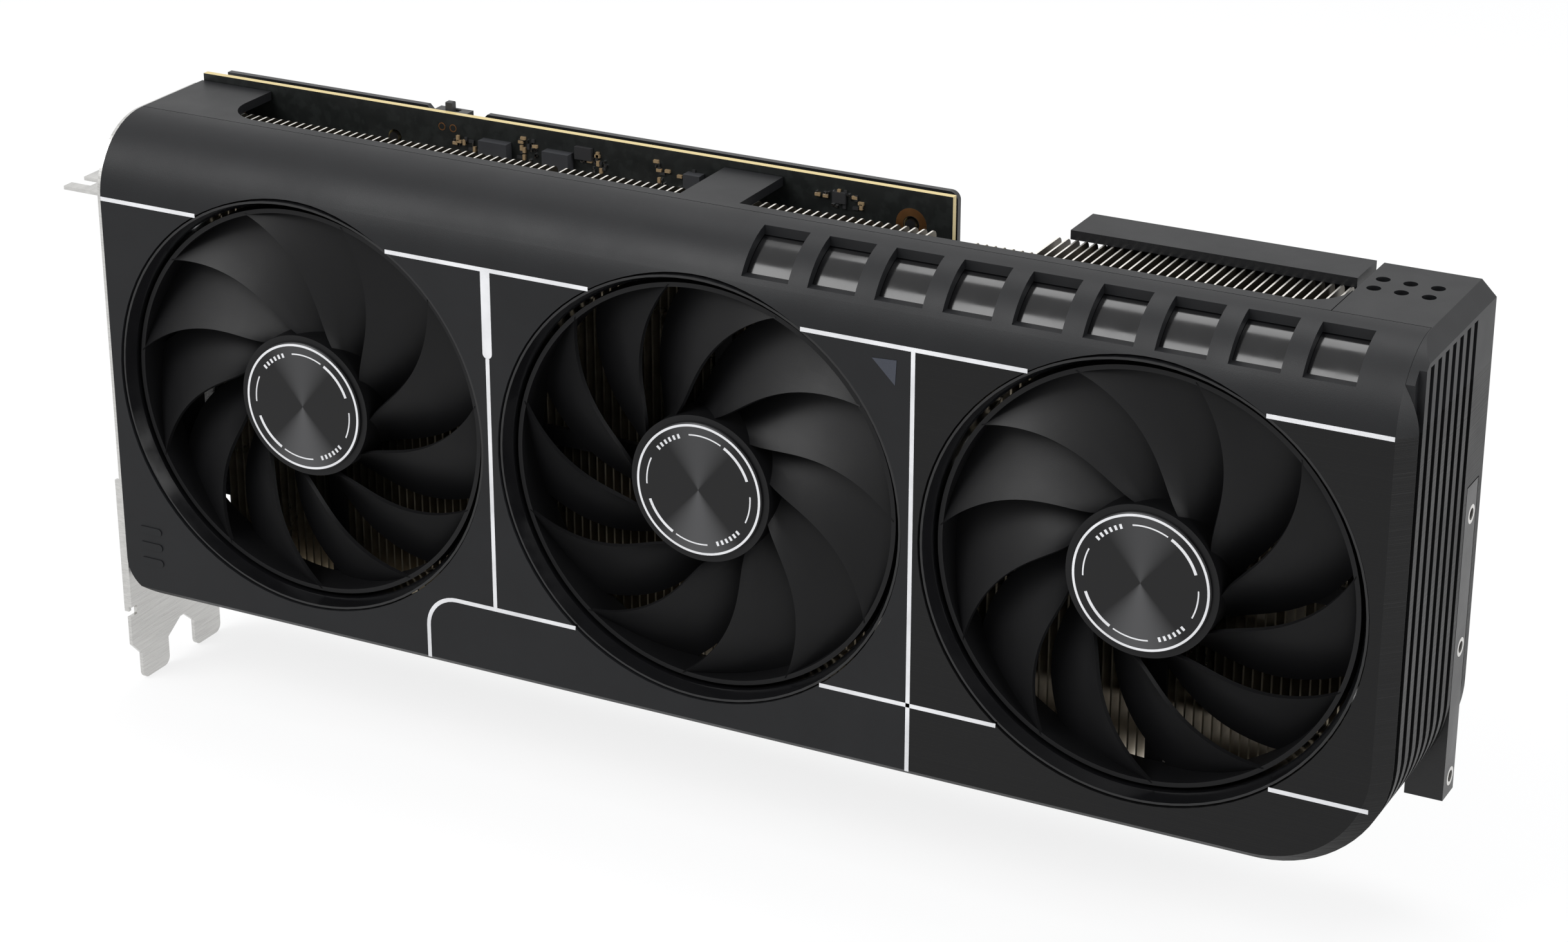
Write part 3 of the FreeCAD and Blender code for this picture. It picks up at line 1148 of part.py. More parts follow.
def make_ports():
    shells, tongues = [], []
    x0 = f"({BRACKET_X} - dims.bracket_t - 0.3)"
    x1 = f"({x0} + dims.port_depth)"
    for index in range(4):
        body = doc.addObject("PartDesign::Body", f"port_shell_{index}")
        prism(body, "X", x0, x1, port_outline(index, "0"))
        prism(body, "X", f"{x0} - 1", f"{x1} - 1", port_outline(index, "-dims.port_wall"),
              cut=True)
        if index:
            shells.append(body)
        else:
            keep("hdmi_shell", body)
        z = port_middle(index)
        tongues.append(box(f"tongue_{index}", f"{x1} - 1 - dims.tongue_depth", f"{x1} - 1",
                           f"{PORT_Y} - dims.tongue_t / 2", f"{PORT_Y} + dims.tongue_t / 2",
                           f"{z} - dims.tongue_h / 2", f"{z} + dims.tongue_h / 2"))
    group("displayport_shells", shells)
    group("port_tongues", tongues)


# ---------------------------------------------------------------- far-end strip

def insert_heights():
    return [f"(dims.insert_low + {index} * dims.insert_pitch)"
            for index in range(count("insert_count"))]


def make_brace():
    body = new_body("support_brace")
    y0 = depth("dims.brace_front")
    y1 = depth("dims.brace_front + dims.brace_w")
    t = "dims.brace_t"
    prism(body, "Z", "dims.brace_low", "dims.brace_high",
          polygon([(f"{END_X} - dims.brace_foot", y0), (END_X, y0), (END_X, y1),
                   (f"{END_X} - {t}", y1), (f"{END_X} - {t}", f"{y0} + {t}"),
                   (f"{END_X} - dims.brace_foot", f"{y0} + {t}")]))
    middle = f"(({y0} + {t} + {y1}) / 2)"
    places = [(middle, z) for z in insert_heights()]
    prism(body, "X", f"{END_X} - {t} - 1", f"{END_X} + 1", circles(places, "dims.insert_r + 0.05"),
          cut=True)
    items = []
    for index, z in enumerate(insert_heights()):
        bush = doc.addObject("PartDesign::Body", f"insert_{index}")
        turned(bush, [("0", "dims.insert_bore"), ("0", "dims.insert_r"),
                      ("-dims.insert_len", "dims.insert_r"),
                      ("-dims.insert_len", "dims.insert_bore")], about="H_Axis")
        place(bush, END_X, middle, z)
        items.append(bush)
    group("brace_inserts", items)


# ---------------------------------------------------------------- build and write

make_board()
make_chips()
make_power_stages()
make_power_inlet()
make_firmware_switch()
make_fin_stack("fin_stack_near", "dims.fin_near", "dims.fin_split_a", False)
make_fin_stack("fin_stack_middle", "dims.fin_split_a + dims.fin_pitch", "dims.fin_split_b", False)
make_fin_stack("fin_stack_far", "dims.fin_split_b + dims.fin_pitch + 2", "dims.fin_far", True)
make_heat_pipes()
make_cold_plate()
# The middle fan turns the other way, so its blades are the mirror image of its neighbours'.
side_rotor, middle_rotor = rotor_shape(-1), rotor_shape(1)
for fan, fan_rotor in enumerate((side_rotor, middle_rotor, side_rotor)):
    make_fan(fan, fan_rotor)
make_fan_screws()
make_duct_rings()
make_front_shell()
make_accent_panel()
make_mid_frame()
make_end_cap()
make_top_bar()
make_backplate()
make_back_screws()
make_spring_bracket()
make_bracket()
make_ports()
make_brace()
doc.recompute()

for item in doc.Objects:
    if "Invalid" in item.State or "Error" in item.State:
        raise ValueError(f"{item.Label} failed to build: {item.State}")

os.makedirs("parts", exist_ok=True)
for label, item in nodes.items():
    if item.Shape.isNull() or not item.Shape.isValid():
        raise ValueError(f"{label} has no valid shape")
    item.Shape.exportStep(f"parts/{label}.step")
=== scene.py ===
"""Looks for the graphics card: materials, printed marks, small board parts, light and camera."""
import json
import math
import random

import bpy
from mathutils import Matrix, Vector


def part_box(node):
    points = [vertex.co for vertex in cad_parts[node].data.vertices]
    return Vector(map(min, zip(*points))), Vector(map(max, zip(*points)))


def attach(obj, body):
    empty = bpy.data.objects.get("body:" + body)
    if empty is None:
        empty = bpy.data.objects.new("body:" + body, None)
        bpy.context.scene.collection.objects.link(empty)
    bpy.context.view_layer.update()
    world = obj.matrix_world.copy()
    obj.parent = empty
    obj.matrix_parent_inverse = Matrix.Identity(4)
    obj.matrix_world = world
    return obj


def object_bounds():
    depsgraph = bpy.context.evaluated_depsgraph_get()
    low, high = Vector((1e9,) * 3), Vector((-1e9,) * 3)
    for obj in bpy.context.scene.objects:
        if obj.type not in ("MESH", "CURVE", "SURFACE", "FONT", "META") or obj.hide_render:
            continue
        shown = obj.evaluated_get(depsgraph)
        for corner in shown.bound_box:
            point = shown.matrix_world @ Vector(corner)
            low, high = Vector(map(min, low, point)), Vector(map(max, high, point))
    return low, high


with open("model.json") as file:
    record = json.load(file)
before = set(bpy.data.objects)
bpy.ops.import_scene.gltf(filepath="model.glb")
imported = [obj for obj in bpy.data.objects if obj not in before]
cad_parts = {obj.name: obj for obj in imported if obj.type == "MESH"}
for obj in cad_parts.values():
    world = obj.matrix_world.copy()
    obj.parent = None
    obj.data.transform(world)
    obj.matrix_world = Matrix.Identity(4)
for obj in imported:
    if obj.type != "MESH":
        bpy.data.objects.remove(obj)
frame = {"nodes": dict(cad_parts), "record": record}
cad_low, cad_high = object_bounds()

MM = 0.001
nodes = frame["nodes"]

# Places read from the CAD model.
SHELL_LOW, SHELL_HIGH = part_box("front_shell")
FIN_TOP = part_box("fin_stack_far")[1].z
BOARD_LOW, BOARD_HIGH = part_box("pcb")
FRONT = SHELL_LOW.y
FANS = []
for number in (1, 2, 3):
    low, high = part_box(f"hub_badge_{number}")
    FANS.append((low + high) / 2)
FAN_Z = FANS[0].z

# The printed lines' places, measured in the photograph.
OPENING_R = 47.9 * MM
DIVIDER_X = 104.1 * MM
NEAR_DIVIDER_X = 4.28 * MM
LINE_Z = 98.3 * MM
LOWER_Z = 19.6 * MM
LINE_W = 0.92 * MM
THICK_W = 2.3 * MM
LINE_PROUD = 0.05 * MM
FACE_NEAR = SHELL_LOW.x + 0.1 * MM
FACE_FAR = SHELL_HIGH.x - 3.5 * MM
FACE_BOTTOM = SHELL_LOW.z + 1.2 * MM

# ---------------------------------------------------------------- materials

# A colour Mix node's sockets share names, so they are taken by number.
MIX_FIRST, MIX_SECOND, MIX_RESULT = 6, 7, 2
NOISE_ROUGHNESS = 0.6


class Shader:
    """A node material with one Principled BSDF, in the object's own coordinates."""

    def __init__(self, name, base, roughness, metallic=0.0):
        self.material = bpy.data.materials.new(name)
        self.material.use_nodes = True
        self.tree = self.material.node_tree
        self.bsdf = self.tree.nodes["Principled BSDF"]
        self.base = tuple(base)
        self.roughness = roughness
        self.set("Base Color", (*self.base, 1))
        self.set("Roughness", roughness)
        self.set("Metallic", metallic)
        self.coords = self.new("ShaderNodeTexCoord").outputs["Object"]
        self.normal = None

    def new(self, kind, **fields):
        node = self.tree.nodes.new(kind)
        for key, value in fields.items():
            setattr(node, key, value)
        return node

    def link(self, start, end):
        self.tree.links.new(start, end)

    def feed(self, value, socket):
        """Links a socket to an input, or sets the input to a plain value."""
        if isinstance(value, bpy.types.NodeSocket):
            self.link(value, socket)
        else:
            socket.default_value = value

    def paint(self, colour):
        self.link(colour, self.bsdf.inputs["Base Color"])

    def split(self, vector):
        node = self.new("ShaderNodeSeparateXYZ")
        self.link(vector, node.inputs[0])
        return node.outputs

    def face_normal(self):
        return self.split(self.new("ShaderNodeNewGeometry").outputs["Normal"])

    def calc(self, operation, *values):
        node = self.new("ShaderNodeMath", operation=operation)
        for value, socket in zip(values, node.inputs):
            self.feed(value, socket)
        return node.outputs[0]

    def set(self, socket, value):
        self.bsdf.inputs[socket].default_value = value

    def stretched(self, scale):
        """Object coordinates scaled differently along each axis."""
        mapping = self.new("ShaderNodeMapping")
        mapping.inputs["Scale"].default_value = scale
        self.link(self.coords, mapping.inputs["Vector"])
        return mapping.outputs["Vector"]

    def noise(self, scale, detail=4.0, vector=None):
        node = self.new("ShaderNodeTexNoise")
        node.inputs["Scale"].default_value = scale
        node.inputs["Detail"].default_value = detail
        node.inputs["Roughness"].default_value = NOISE_ROUGHNESS
        self.link(vector or self.coords, node.inputs["Vector"])
        return node.outputs["Fac"]

    def ranged(self, value, low, high, start=0.3, end=0.7):
        """Maps start..end to low..high, and stays at the nearer one outside them."""
        node = self.new("ShaderNodeMapRange")
        for key, number in (("From Min", start), ("From Max", end), ("To Min", low),
                            ("To Max", high)):
            node.inputs[key].default_value = number
        self.link(value, node.inputs["Value"])
        return node.outputs["Result"]

    def blend(self, factor, first, second):
        node = self.new("ShaderNodeMix", data_type="RGBA")
        self.link(factor, node.inputs["Factor"])
        for index, colour in ((MIX_FIRST, first), (MIX_SECOND, second)):
            if isinstance(colour, tuple):
                colour = (*colour, 1)
            self.feed(colour, node.inputs[index])
        return node.outputs[MIX_RESULT]

    def vary_colour(self, scale, amount, vector=None):
        """Mottles the base colour by a share of itself."""
        factor = self.ranged(self.noise(scale, vector=vector), 0.0, 1.0)
        dark = tuple(channel * (1 - amount) for channel in self.base)
        light = tuple(channel * (1 + amount) for channel in self.base)
        self.paint(self.blend(factor, dark, light))
        return self

    def vary_roughness(self, scale, amount, vector=None):
        value = self.ranged(self.noise(scale, vector=vector), self.roughness - amount,
                            self.roughness + amount)
        self.link(value, self.bsdf.inputs["Roughness"])
        return self

    def bump(self, height, distance):
        node = self.new("ShaderNodeBump")
        node.inputs["Strength"].default_value = 1.0
        node.inputs["Distance"].default_value = distance
        self.link(height, node.inputs["Height"])
        if self.normal:
            self.link(self.normal, node.inputs["Normal"])
        self.normal = node.outputs["Normal"]
        self.link(self.normal, self.bsdf.inputs["Normal"])
        return self

    def grain(self, scale, distance, vector=None, detail=2.0):
        return self.bump(self.noise(scale, detail=detail, vector=vector), distance)


def moulded(name, base, roughness, grain=0.02 * MM, shine=0.22):
    """Spark-eroded moulded plastic: even fine grain, faint handling marks."""
    shader = Shader(name, base, roughness)
    shader.set("Specular IOR Level", shine)
    shader.vary_colour(90, 0.12).vary_roughness(35, 0.05)
    shader.grain(5200, grain)
    return shader


def glossy(name, base, roughness):
    shader = Shader(name, base, roughness)
    shader.set("Specular IOR Level", 0.42)
    shader.vary_colour(60, 0.1).vary_roughness(140, 0.05)
    shader.grain(45, 0.05 * MM, detail=1.0)
    return shader


def brushed(name, base, roughness, stretch):
    shader = Shader(name, base, roughness, metallic=1.0)
    lines = shader.stretched(stretch)
    shader.vary_colour(1, 0.12, vector=lines).vary_roughness(1, 0.07, vector=lines)
    shader.grain(1, 0.006 * MM, vector=lines)
    return shader


def cast_metal(name, base, roughness):
    shader = Shader(name, base, roughness, metallic=1.0)
    shader.vary_colour(220, 0.08).vary_roughness(120, 0.06)
    shader.grain(1800, 0.008 * MM)
    return shader


def painted(name, base, roughness):
    shader = Shader(name, base, roughness)
    shader.set("Specular IOR Level", 0.34)
    shader.vary_colour(80, 0.1).vary_roughness(60, 0.05)
    shader.grain(3200, 0.03 * MM)
    return shader


def front_plastic():
    """Matte grain, darker and finely lined on the front panel past the far divider."""
    shader = moulded("shell_front", (0.0062, 0.0065, 0.0074), 0.46)
    place = shader.split(shader.coords)
    past = shader.calc("GREATER_THAN", place["X"], DIVIDER_X)
    below = shader.calc("LESS_THAN", place["Z"], LINE_Z)
    inside = shader.calc("MULTIPLY", past, below)
    tone = shader.bsdf.inputs["Base Color"].links[0].from_socket
    shader.paint(shader.blend(inside, tone, (0.0018, 0.0018, 0.0020)))
    lines = shader.noise(1, detail=1.0, vector=shader.stretched((12, 12, 3300)))
    shader.bump(shader.calc("MULTIPLY", lines, inside), 0.09 * MM)
    return shader.material


def board_material():
    """Dark solder mask on the faces, bare glass-epoxy on the cut edges."""
    shader = Shader("board", (0.007, 0.008, 0.008), 0.42)
    shader.set("Specular IOR Level", 0.3)
    size = shader.calc("ABSOLUTE", shader.face_normal()["Y"])
    face = shader.ranged(size, 0.0, 1.0, 0.4, 0.6)
    tracks = shader.ranged(shader.noise(420, detail=6), 0.0, 1.0, 0.5, 0.56)
    mask = shader.blend(tracks, (0.0065, 0.0075, 0.0072), (0.010, 0.0115, 0.011))
    shader.paint(shader.blend(face, (0.52, 0.42, 0.20), mask))
    shader.vary_roughness(300, 0.05)
    shader.grain(420, 0.006 * MM)
    return shader.material


def badge_material():
    """Turned metal-look disc with a painted highlight that runs round each fan's own centre."""
    shader = Shader("badge", (0.01, 0.01, 0.011), 0.34, metallic=0.2)
    shader.set("Specular IOR Level", 0.3)
    place = shader.split(shader.coords)
    pitch = FANS[1].x - FANS[0].x
    # Adding half a pitch keeps the wrapped value clear of its edge.
    along = shader.calc("SUBTRACT", place["X"], FANS[0].x)
    wrapped = shader.calc("MODULO", shader.calc("ADD", along, pitch / 2), pitch)
    x = shader.calc("SUBTRACT", wrapped, pitch / 2)
    z = shader.calc("SUBTRACT", place["Z"], FAN_Z)
    angle = shader.calc("ARCTAN2", z, x)
    flat = shader.new("ShaderNodeCombineXYZ")
    shader.link(x, flat.inputs[0])
    shader.link(z, flat.inputs[1])
    length = shader.new("ShaderNodeVectorMath", operation="LENGTH")
    shader.link(flat.outputs[0], length.inputs[0])
    rings = shader.new("ShaderNodeTexNoise", noise_dimensions="1D")
    rings.inputs["Scale"].default_value = 9000
    shader.link(length.outputs["Value"], rings.inputs["W"])
    shader.bump(rings.outputs["Fac"], 0.004 * MM)
    # Painted highlight: a turned face shows one bright wedge of light and a fainter one opposite,
    # here painted into the base colour.
    wave = shader.calc("SINE", angle)
    painted_low_highlight = shader.ranged(wave, 0.0, 0.8, -0.72, -1.0)
    painted_high_highlight = shader.ranged(wave, 0.0, 0.5, 0.76, 1.0)
    painted_sheen = shader.calc("ADD", painted_low_highlight, painted_high_highlight)
    # Painted highlight: the wedges lighten the base colour from near-black.
    shader.paint(shader.blend(painted_sheen, (0.0052, 0.0052, 0.0056), (0.072, 0.072, 0.074)))
    shader.vary_roughness(500, 0.05)
    return shader.material


def fin_material():
    """Thin aluminium: painted highlight on the pale top edges, painted shade darkest near the top
    of the fin faces, and a warmer painted reflection further down.
    """
    shader = Shader("fins", (0.50, 0.47, 0.41), 0.34, metallic=0.9)
    place = shader.split(shader.coords)
    # Painted shade: the fin faces darken towards the top over this depth, in the gaps between the
    # bright top edges.
    shade_depth = 7 * MM
    height = shader.ranged(place["Z"], 0.0, 1.0, FIN_TOP - shade_depth, FIN_TOP)
    # Patchy random tone, in warm colours that are a painted reflection.
    patches = shader.ranged(shader.noise(160), 0.0, 1.0)
    patchy_painted_reflection = shader.blend(patches, (0.26, 0.22, 0.155), (0.42, 0.37, 0.28))
    # Painted shade near the top, over the patchy painted reflection further down.
    painted_shade_and_reflection = shader.blend(height, patchy_painted_reflection, (0.085, 0.075, 0.058))
    # Painted highlight: faces that point up take the pale top-edge colour.
    edge = shader.ranged(shader.face_normal()["Z"], 0.0, 1.0, 0.4, 0.7)
    shader.paint(shader.blend(edge, painted_shade_and_reflection, (0.88, 0.85, 0.79)))
    shader.vary_roughness(90, 0.08)
    shader.grain(900, 0.01 * MM)
    return shader.material


MATERIALS = {
    "shell_plastic": front_plastic(),
    "gloss_trim": glossy("gloss_trim", (0.0045, 0.0045, 0.005), 0.15).material,
    "fan_plastic": moulded("fan_plastic", (0.0034, 0.0034, 0.0038), 0.46, 0.012 * MM,
                           0.2).material,
    "badge_print": badge_material(),
    "fin_aluminium": fin_material(),
    "pipe_nickel": cast_metal("pipe_nickel", (0.55, 0.53, 0.50), 0.22).material,
    "plate_nickel": brushed("plate_nickel", (0.60, 0.59, 0.57), 0.28, (2600, 60, 60)).material,
    "board_laminate": board_material(),
    "chip_black": moulded("chip_black", (0.022, 0.022, 0.023), 0.5).material,
    "die_glass": cast_metal("die_glass", (0.30, 0.31, 0.34), 0.12).material,
    "pad_grey": moulded("pad_grey", (0.30, 0.32, 0.36), 0.75).material,
    "can_aluminium": brushed("can_aluminium", (0.62, 0.62, 0.63), 0.3, (900, 900, 900)).material,
    "socket_black": moulded("socket_black", (0.012, 0.012, 0.012), 0.42).material,
    "pin_gold": cast_metal("pin_gold", (0.85, 0.60, 0.25), 0.22).material,
    "backplate_paint": painted("backplate_paint", (0.010, 0.0102, 0.011), 0.40).material,
    "bracket_steel": brushed("bracket_steel", (0.55, 0.545, 0.53), 0.30, (500, 90, 2400)).material,
    "screw_steel": cast_metal("screw_steel", (0.10, 0.10, 0.105), 0.32).material,
    "port_steel": brushed("port_steel", (0.66, 0.66, 0.67), 0.24, (1500, 300, 300)).material,
    "magnet_ferrite": moulded("magnet_ferrite", (0.05, 0.05, 0.055), 0.6).material,
    "stator_copper": cast_metal("stator_copper", (0.62, 0.28, 0.14), 0.35).material,
    "shaft_steel": brushed("shaft_steel", (0.58, 0.58, 0.6), 0.2, (1500, 300, 1500)).material,
    "bearing_brass": cast_metal("bearing_brass", (0.7, 0.5, 0.22), 0.3).material,
    "brace_paint": painted("brace_paint", (0.009, 0.009, 0.0095), 0.36).material,
    "switch_plastic": moulded("switch_plastic", (0.03, 0.03, 0.031), 0.4).material,
}
INDUCTOR_GREY = moulded("inductor_grey", (0.030, 0.031, 0.034), 0.5).material
CERAMIC_TAN = moulded("ceramic_tan", (0.24, 0.17, 0.095), 0.45).material
PRINT_WHITE = moulded("print_white", (0.58, 0.58, 0.59), 0.5, 0.006 * MM).material

for part in frame["record"]["subparts"]:
    mesh = nodes[part["node"]].data
    mesh.materials.clear()
    mesh.materials.append(MATERIALS[part["material_slot"]])

# ---------------------------------------------------------------- helpers for new pieces


def add_mesh(name, verts, faces, material, body):
    mesh = bpy.data.meshes.new(name)
    mesh.from_pydata([tuple(v) for v in verts], [], faces)
    mesh.validate()
    mesh.update()
    piece = bpy.data.objects.new(name, mesh)
    bpy.context.scene.collection.objects.link(piece)
    mesh.materials.append(material)
    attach(piece, body)
    return piece


def add_outline(verts, outline, y0, y1):
    """Adds an XZ outline's points at two depths and returns the first one's index."""
    start = len(verts)
    verts.extend((x, y0, z) for x, z in outline)
    verts.extend((x, y1, z) for x, z in outline)
    return start


def add_sides(faces, start, count):
    """Closes the gap between an outline's two copies."""
    for index in range(count):
        after = (index + 1) % count
        faces.append([start + index, start + count + index, start + count + after, start + after])


def slab(verts, faces, outline, y0, y1):
    """Adds a closed slab with an XZ outline between two depths."""
    count = len(outline)
    start = add_outline(verts, outline, y0, y1)
    faces.append([start + index for index in range(count)])
    faces.append([start + count + index for index in reversed(range(count))])
    add_sides(faces, start, count)


def ribbon(path, width):
    """The outline of a band of even width that follows a path in the XZ plane."""
    left, right = [], []
    for index, (x, z) in enumerate(path):
        before = path[max(index - 1, 0)]
        after = path[min(index + 1, len(path) - 1)]
        dx, dz = after[0] - before[0], after[1] - before[1]
        size = math.hypot(dx, dz)
        nx, nz = -dz / size * width / 2, dx / size * width / 2
        left.append((x + nx, z + nz))
        right.append((x - nx, z - nz))
    return left + right[::-1]


def ribbon_faces(verts, faces, path, width, y0, y1):
    """Adds a band as one closed strip of quads."""
    outline = ribbon(path, width)
    total = len(outline)
    start = add_outline(verts, outline, y0, y1)
    for index in range(len(path) - 1):
        a, b = start + index, start + index + 1
        c, d = start + total - 2 - index, start + total - 1 - index
        faces.append([a, b, c, d])
        faces.append([a + total, d + total, c + total, b + total])
    add_sides(faces, start, total)


def arc(cx, cz, radius, start, end, steps):
    return [(cx + radius * math.cos(math.radians(start + (end - start) * i / steps)),
             cz + radius * math.sin(math.radians(start + (end - start) * i / steps)))
            for i in range(steps + 1)]


# ---------------------------------------------------------------- printed marks on the shell


def crossings(z):
    """Where a level line meets the two sides of each opening."""
    half = math.sqrt(OPENING_R ** 2 - (z - FAN_Z) ** 2)
    return [(fan.x - half, fan.x + half) for fan in FANS]


def printed_lines():
    """White lines across the front face, broken at the three openings."""
    verts, faces = [], []
    y0, y1 = FRONT - LINE_PROUD, FRONT + LINE_PROUD
    stops = [FACE_NEAR] + [x for pair in crossings(LINE_Z) for x in pair] + [FACE_FAR]
    runs = [[(stops[i], LINE_Z), (stops[i + 1], LINE_Z)] for i in range(0, len(stops), 2)]
    _, (middle_left, middle_right), (far_left, far_right) = crossings(LOWER_Z)
    runs.append([(middle_right, LOWER_Z), (far_left, LOWER_Z)])
    runs.append([(far_right, LOWER_Z), (FACE_FAR, LOWER_Z)])
    bend = 7.5 * MM
    left = NEAR_DIVIDER_X - 17.5 * MM
    corner = arc(left + bend, LOWER_Z - bend, bend, 180, 90, 10)
    runs.append([(left, FACE_BOTTOM)] + corner + [(middle_left, LOWER_Z)])
    runs.append([(DIVIDER_X, LINE_Z - LINE_W / 2), (DIVIDER_X, FACE_BOTTOM)])
    thick_end = 78.3 * MM
    runs.append([(NEAR_DIVIDER_X, thick_end), (NEAR_DIVIDER_X, LOWER_Z + LINE_W / 2)])
    for run in runs:
        ribbon_faces(verts, faces, run, LINE_W, y0, y1)
    half = THICK_W / 2
    cap = arc(NEAR_DIVIDER_X, thick_end + half, half, 180, 360, 10)
    top = LINE_Z - LINE_W / 2
    slab(verts, faces, cap + [(NEAR_DIVIDER_X + half, top), (NEAR_DIVIDER_X - half, top)], y0, y1)
    add_mesh("printed_lines", verts, faces, PRINT_WHITE, "card")


def corner_marks():
    """Three short raised bars near the lower corner, each with one round end."""
    verts, faces = [], []
    proud = 0.22 * MM
    x0, x1 = -91.0 * MM, -86.2 * MM
    half = 0.9 * MM
    first, pitch = 19.2, 3.9
    for index in range(3):
        z = (first - pitch * index) * MM
        outline = [(x0, z - half), (x1, z - half)] + arc(x1, z, half, -90, 90, 8)[1:-1] \
            + [(x1, z + half), (x0, z + half)]
        slab(verts, faces, outline, FRONT - proud, FRONT + proud)
    add_mesh("corner_marks", verts, faces, MATERIALS["shell_plastic"], "card")


def triangle_mark():
    """A small printed triangle in the middle opening's upper corner."""
    verts, faces = [], []
    corners = [(95.0 * MM, 95.1 * MM), (100.5 * MM, 95.4 * MM), (100.2 * MM, 90.0 * MM)]
    slab(verts, faces, corners[::-1], FRONT - LINE_PROUD * 2, FRONT + LINE_PROUD)
    grey_blue = painted("triangle_paint", (0.030, 0.034, 0.046), 0.4).material
    add_mesh("triangle_mark", verts, faces, grey_blue, "card")


# Millimetres and degrees on a hub's badge.
RING_R, RING_W = 14.4, 0.5
ARC_R, ARC_W, THIN_ARC_W = 12.3, 0.62, 0.3
DEGREES_PER_STEP = 3
TICK_GROUPS, TICKS, TICK_TURN = (112, 292), 6, 5.6
TICK_ENDS, TICK_W = (11.7, 12.7), 0.55


def badge_marks(number):
    """Ring, arcs and ticks printed on a hub's badge."""
    fan = FANS[number - 1]
    low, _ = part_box(f"hub_badge_{number}")
    y0, y1 = low.y - 0.03 * MM, low.y + 0.05 * MM
    verts, faces = [], []

    def band(radius, width, start, end):
        steps = max(int(abs(end - start) / DEGREES_PER_STEP), 1)
        ribbon_faces(verts, faces, arc(fan.x, fan.z, radius * MM, start, end, steps),
                     width * MM, y0, y1)

    band(RING_R, RING_W, 0, 360)
    for turn in (0, 180):
        band(ARC_R, ARC_W, 20 + turn, 60 + turn)
        band(ARC_R, THIN_ARC_W, 64 + turn, 100 + turn)
        band(ARC_R, THIN_ARC_W, 155 + turn, 184 + turn)
    for group in TICK_GROUPS:
        for index in range(TICKS):
            angle = math.radians(group + index * TICK_TURN)
            path = [(fan.x + r * MM * math.cos(angle), fan.z + r * MM * math.sin(angle))
                    for r in TICK_ENDS]
            ribbon_faces(verts, faces, path, TICK_W * MM, y0, y1)
    add_mesh(f"badge_marks_{number}", verts, faces, PRINT_WHITE, f"fan_{number}")


# ---------------------------------------------------------------- board details

CONTACT_LONG = 71.65 * MM
CONTACT_SHORT = 11.65 * MM
KEY_W = 1.9 * MM
SCREW_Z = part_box("backplate_screws")[1].z - 2.6 * MM


def box_piece(verts, faces, x0, x1, y0, y1, z0, z1):
    slab(verts, faces, [(x0, z0), (x1, z0), (x1, z1), (x0, z1)], y0, y1)


def contact_strips():
    """Gold contacts on both faces of the edge connector."""
    verts, faces = [], []
    pitch, width = 1.0 * MM, 0.7 * MM
    z0, z1 = 0.75 * MM, 6.3 * MM
    skin = 0.03 * MM
    half = CONTACT_LONG / 2
    # Each segment's near end, its length and how many contacts it has on a face.
    segments = ((-half, CONTACT_LONG, 71), (-half - KEY_W - CONTACT_SHORT, CONTACT_SHORT, 11))
    for start, length, count in segments:
        first = start + length / 2 - (count - 1) / 2 * pitch
        for index in range(count):
            x = first + index * pitch
            for face in (BOARD_LOW.y, BOARD_HIGH.y):
                box_piece(verts, faces, x - width / 2, x + width / 2, face - skin, face + skin,
                          z0, z1)
    add_mesh("contact_strips", verts, faces, MATERIALS["pin_gold"], "card")


def scattered_parts():
    """Small surface parts in loose groups along the board's upper edge."""
    draw = random.Random(7)
    top = BOARD_HIGH.z
    # Each group: its near end along X, length, lowest and highest distance below the top edge.
    groups = ((-28.5, 10, 5.6, 8.0), (-12.0, 5, 3.0, 8.2), (3.0, 8, 4.0, 8.2),
              (22.0, 14, 3.2, 8.4), (60.5, 12, 3.4, 6.4))
    # Each kind: its size along X, Y and Z, and how many of it stand in a group.
    kinds = (("resistors", (1.3, 0.4, 0.65), MATERIALS["chip_black"], "chip_black", 5),
             ("ceramic_caps", (1.2, 0.6, 0.65), CERAMIC_TAN, "pad_grey", 6),
             ("solder_ends", (0.4, 0.42, 0.7), MATERIALS["shaft_steel"], "shaft_steel", 12))
    for name, (w, t, h), material, slot_name, count in kinds:
        verts, faces = [], []
        for start, length, high, low in groups:
            for _ in range(count):
                x = (start + draw.uniform(0, length)) * MM
                z = top - draw.uniform(high, low) * MM
                dx, dz = (w, h) if draw.random() < 0.5 else (h, w)
                box_piece(verts, faces, x, x + dx * MM, BOARD_LOW.y - t * MM, BOARD_LOW.y, z,
                          z + dz * MM)
        add_mesh(name, verts, faces, material, "card")


def placed_parts():
    """Larger surface parts at places read from the photograph."""
    top = BOARD_HIGH.z
    # Each place: the near end along X, the distance below the top edge, width and height.
    kinds = (("small_inductors", 2.4, INDUCTOR_GREY, "pad_grey",
              ((-20.5, 8.4, 7.2, 4.2), (-4.2, 8.4, 6.6, 4.2), (31.0, 8.6, 4.0, 4.6))),
             ("small_chips", 0.9, MATERIALS["chip_black"], "chip_black",
              ((3.2, 5.2, 4.2, 2.8), (66.0, 5.2, 3.0, 2.4))))
    for name, thick, material, slot_name, places in kinds:
        verts, faces = [], []
        for x, z, w, h in places:
            box_piece(verts, faces, x * MM, (x + w) * MM, BOARD_LOW.y - thick * MM, BOARD_LOW.y,
                      top - z * MM, top - (z - h) * MM)
        add_mesh(name, verts, faces, material, "card")


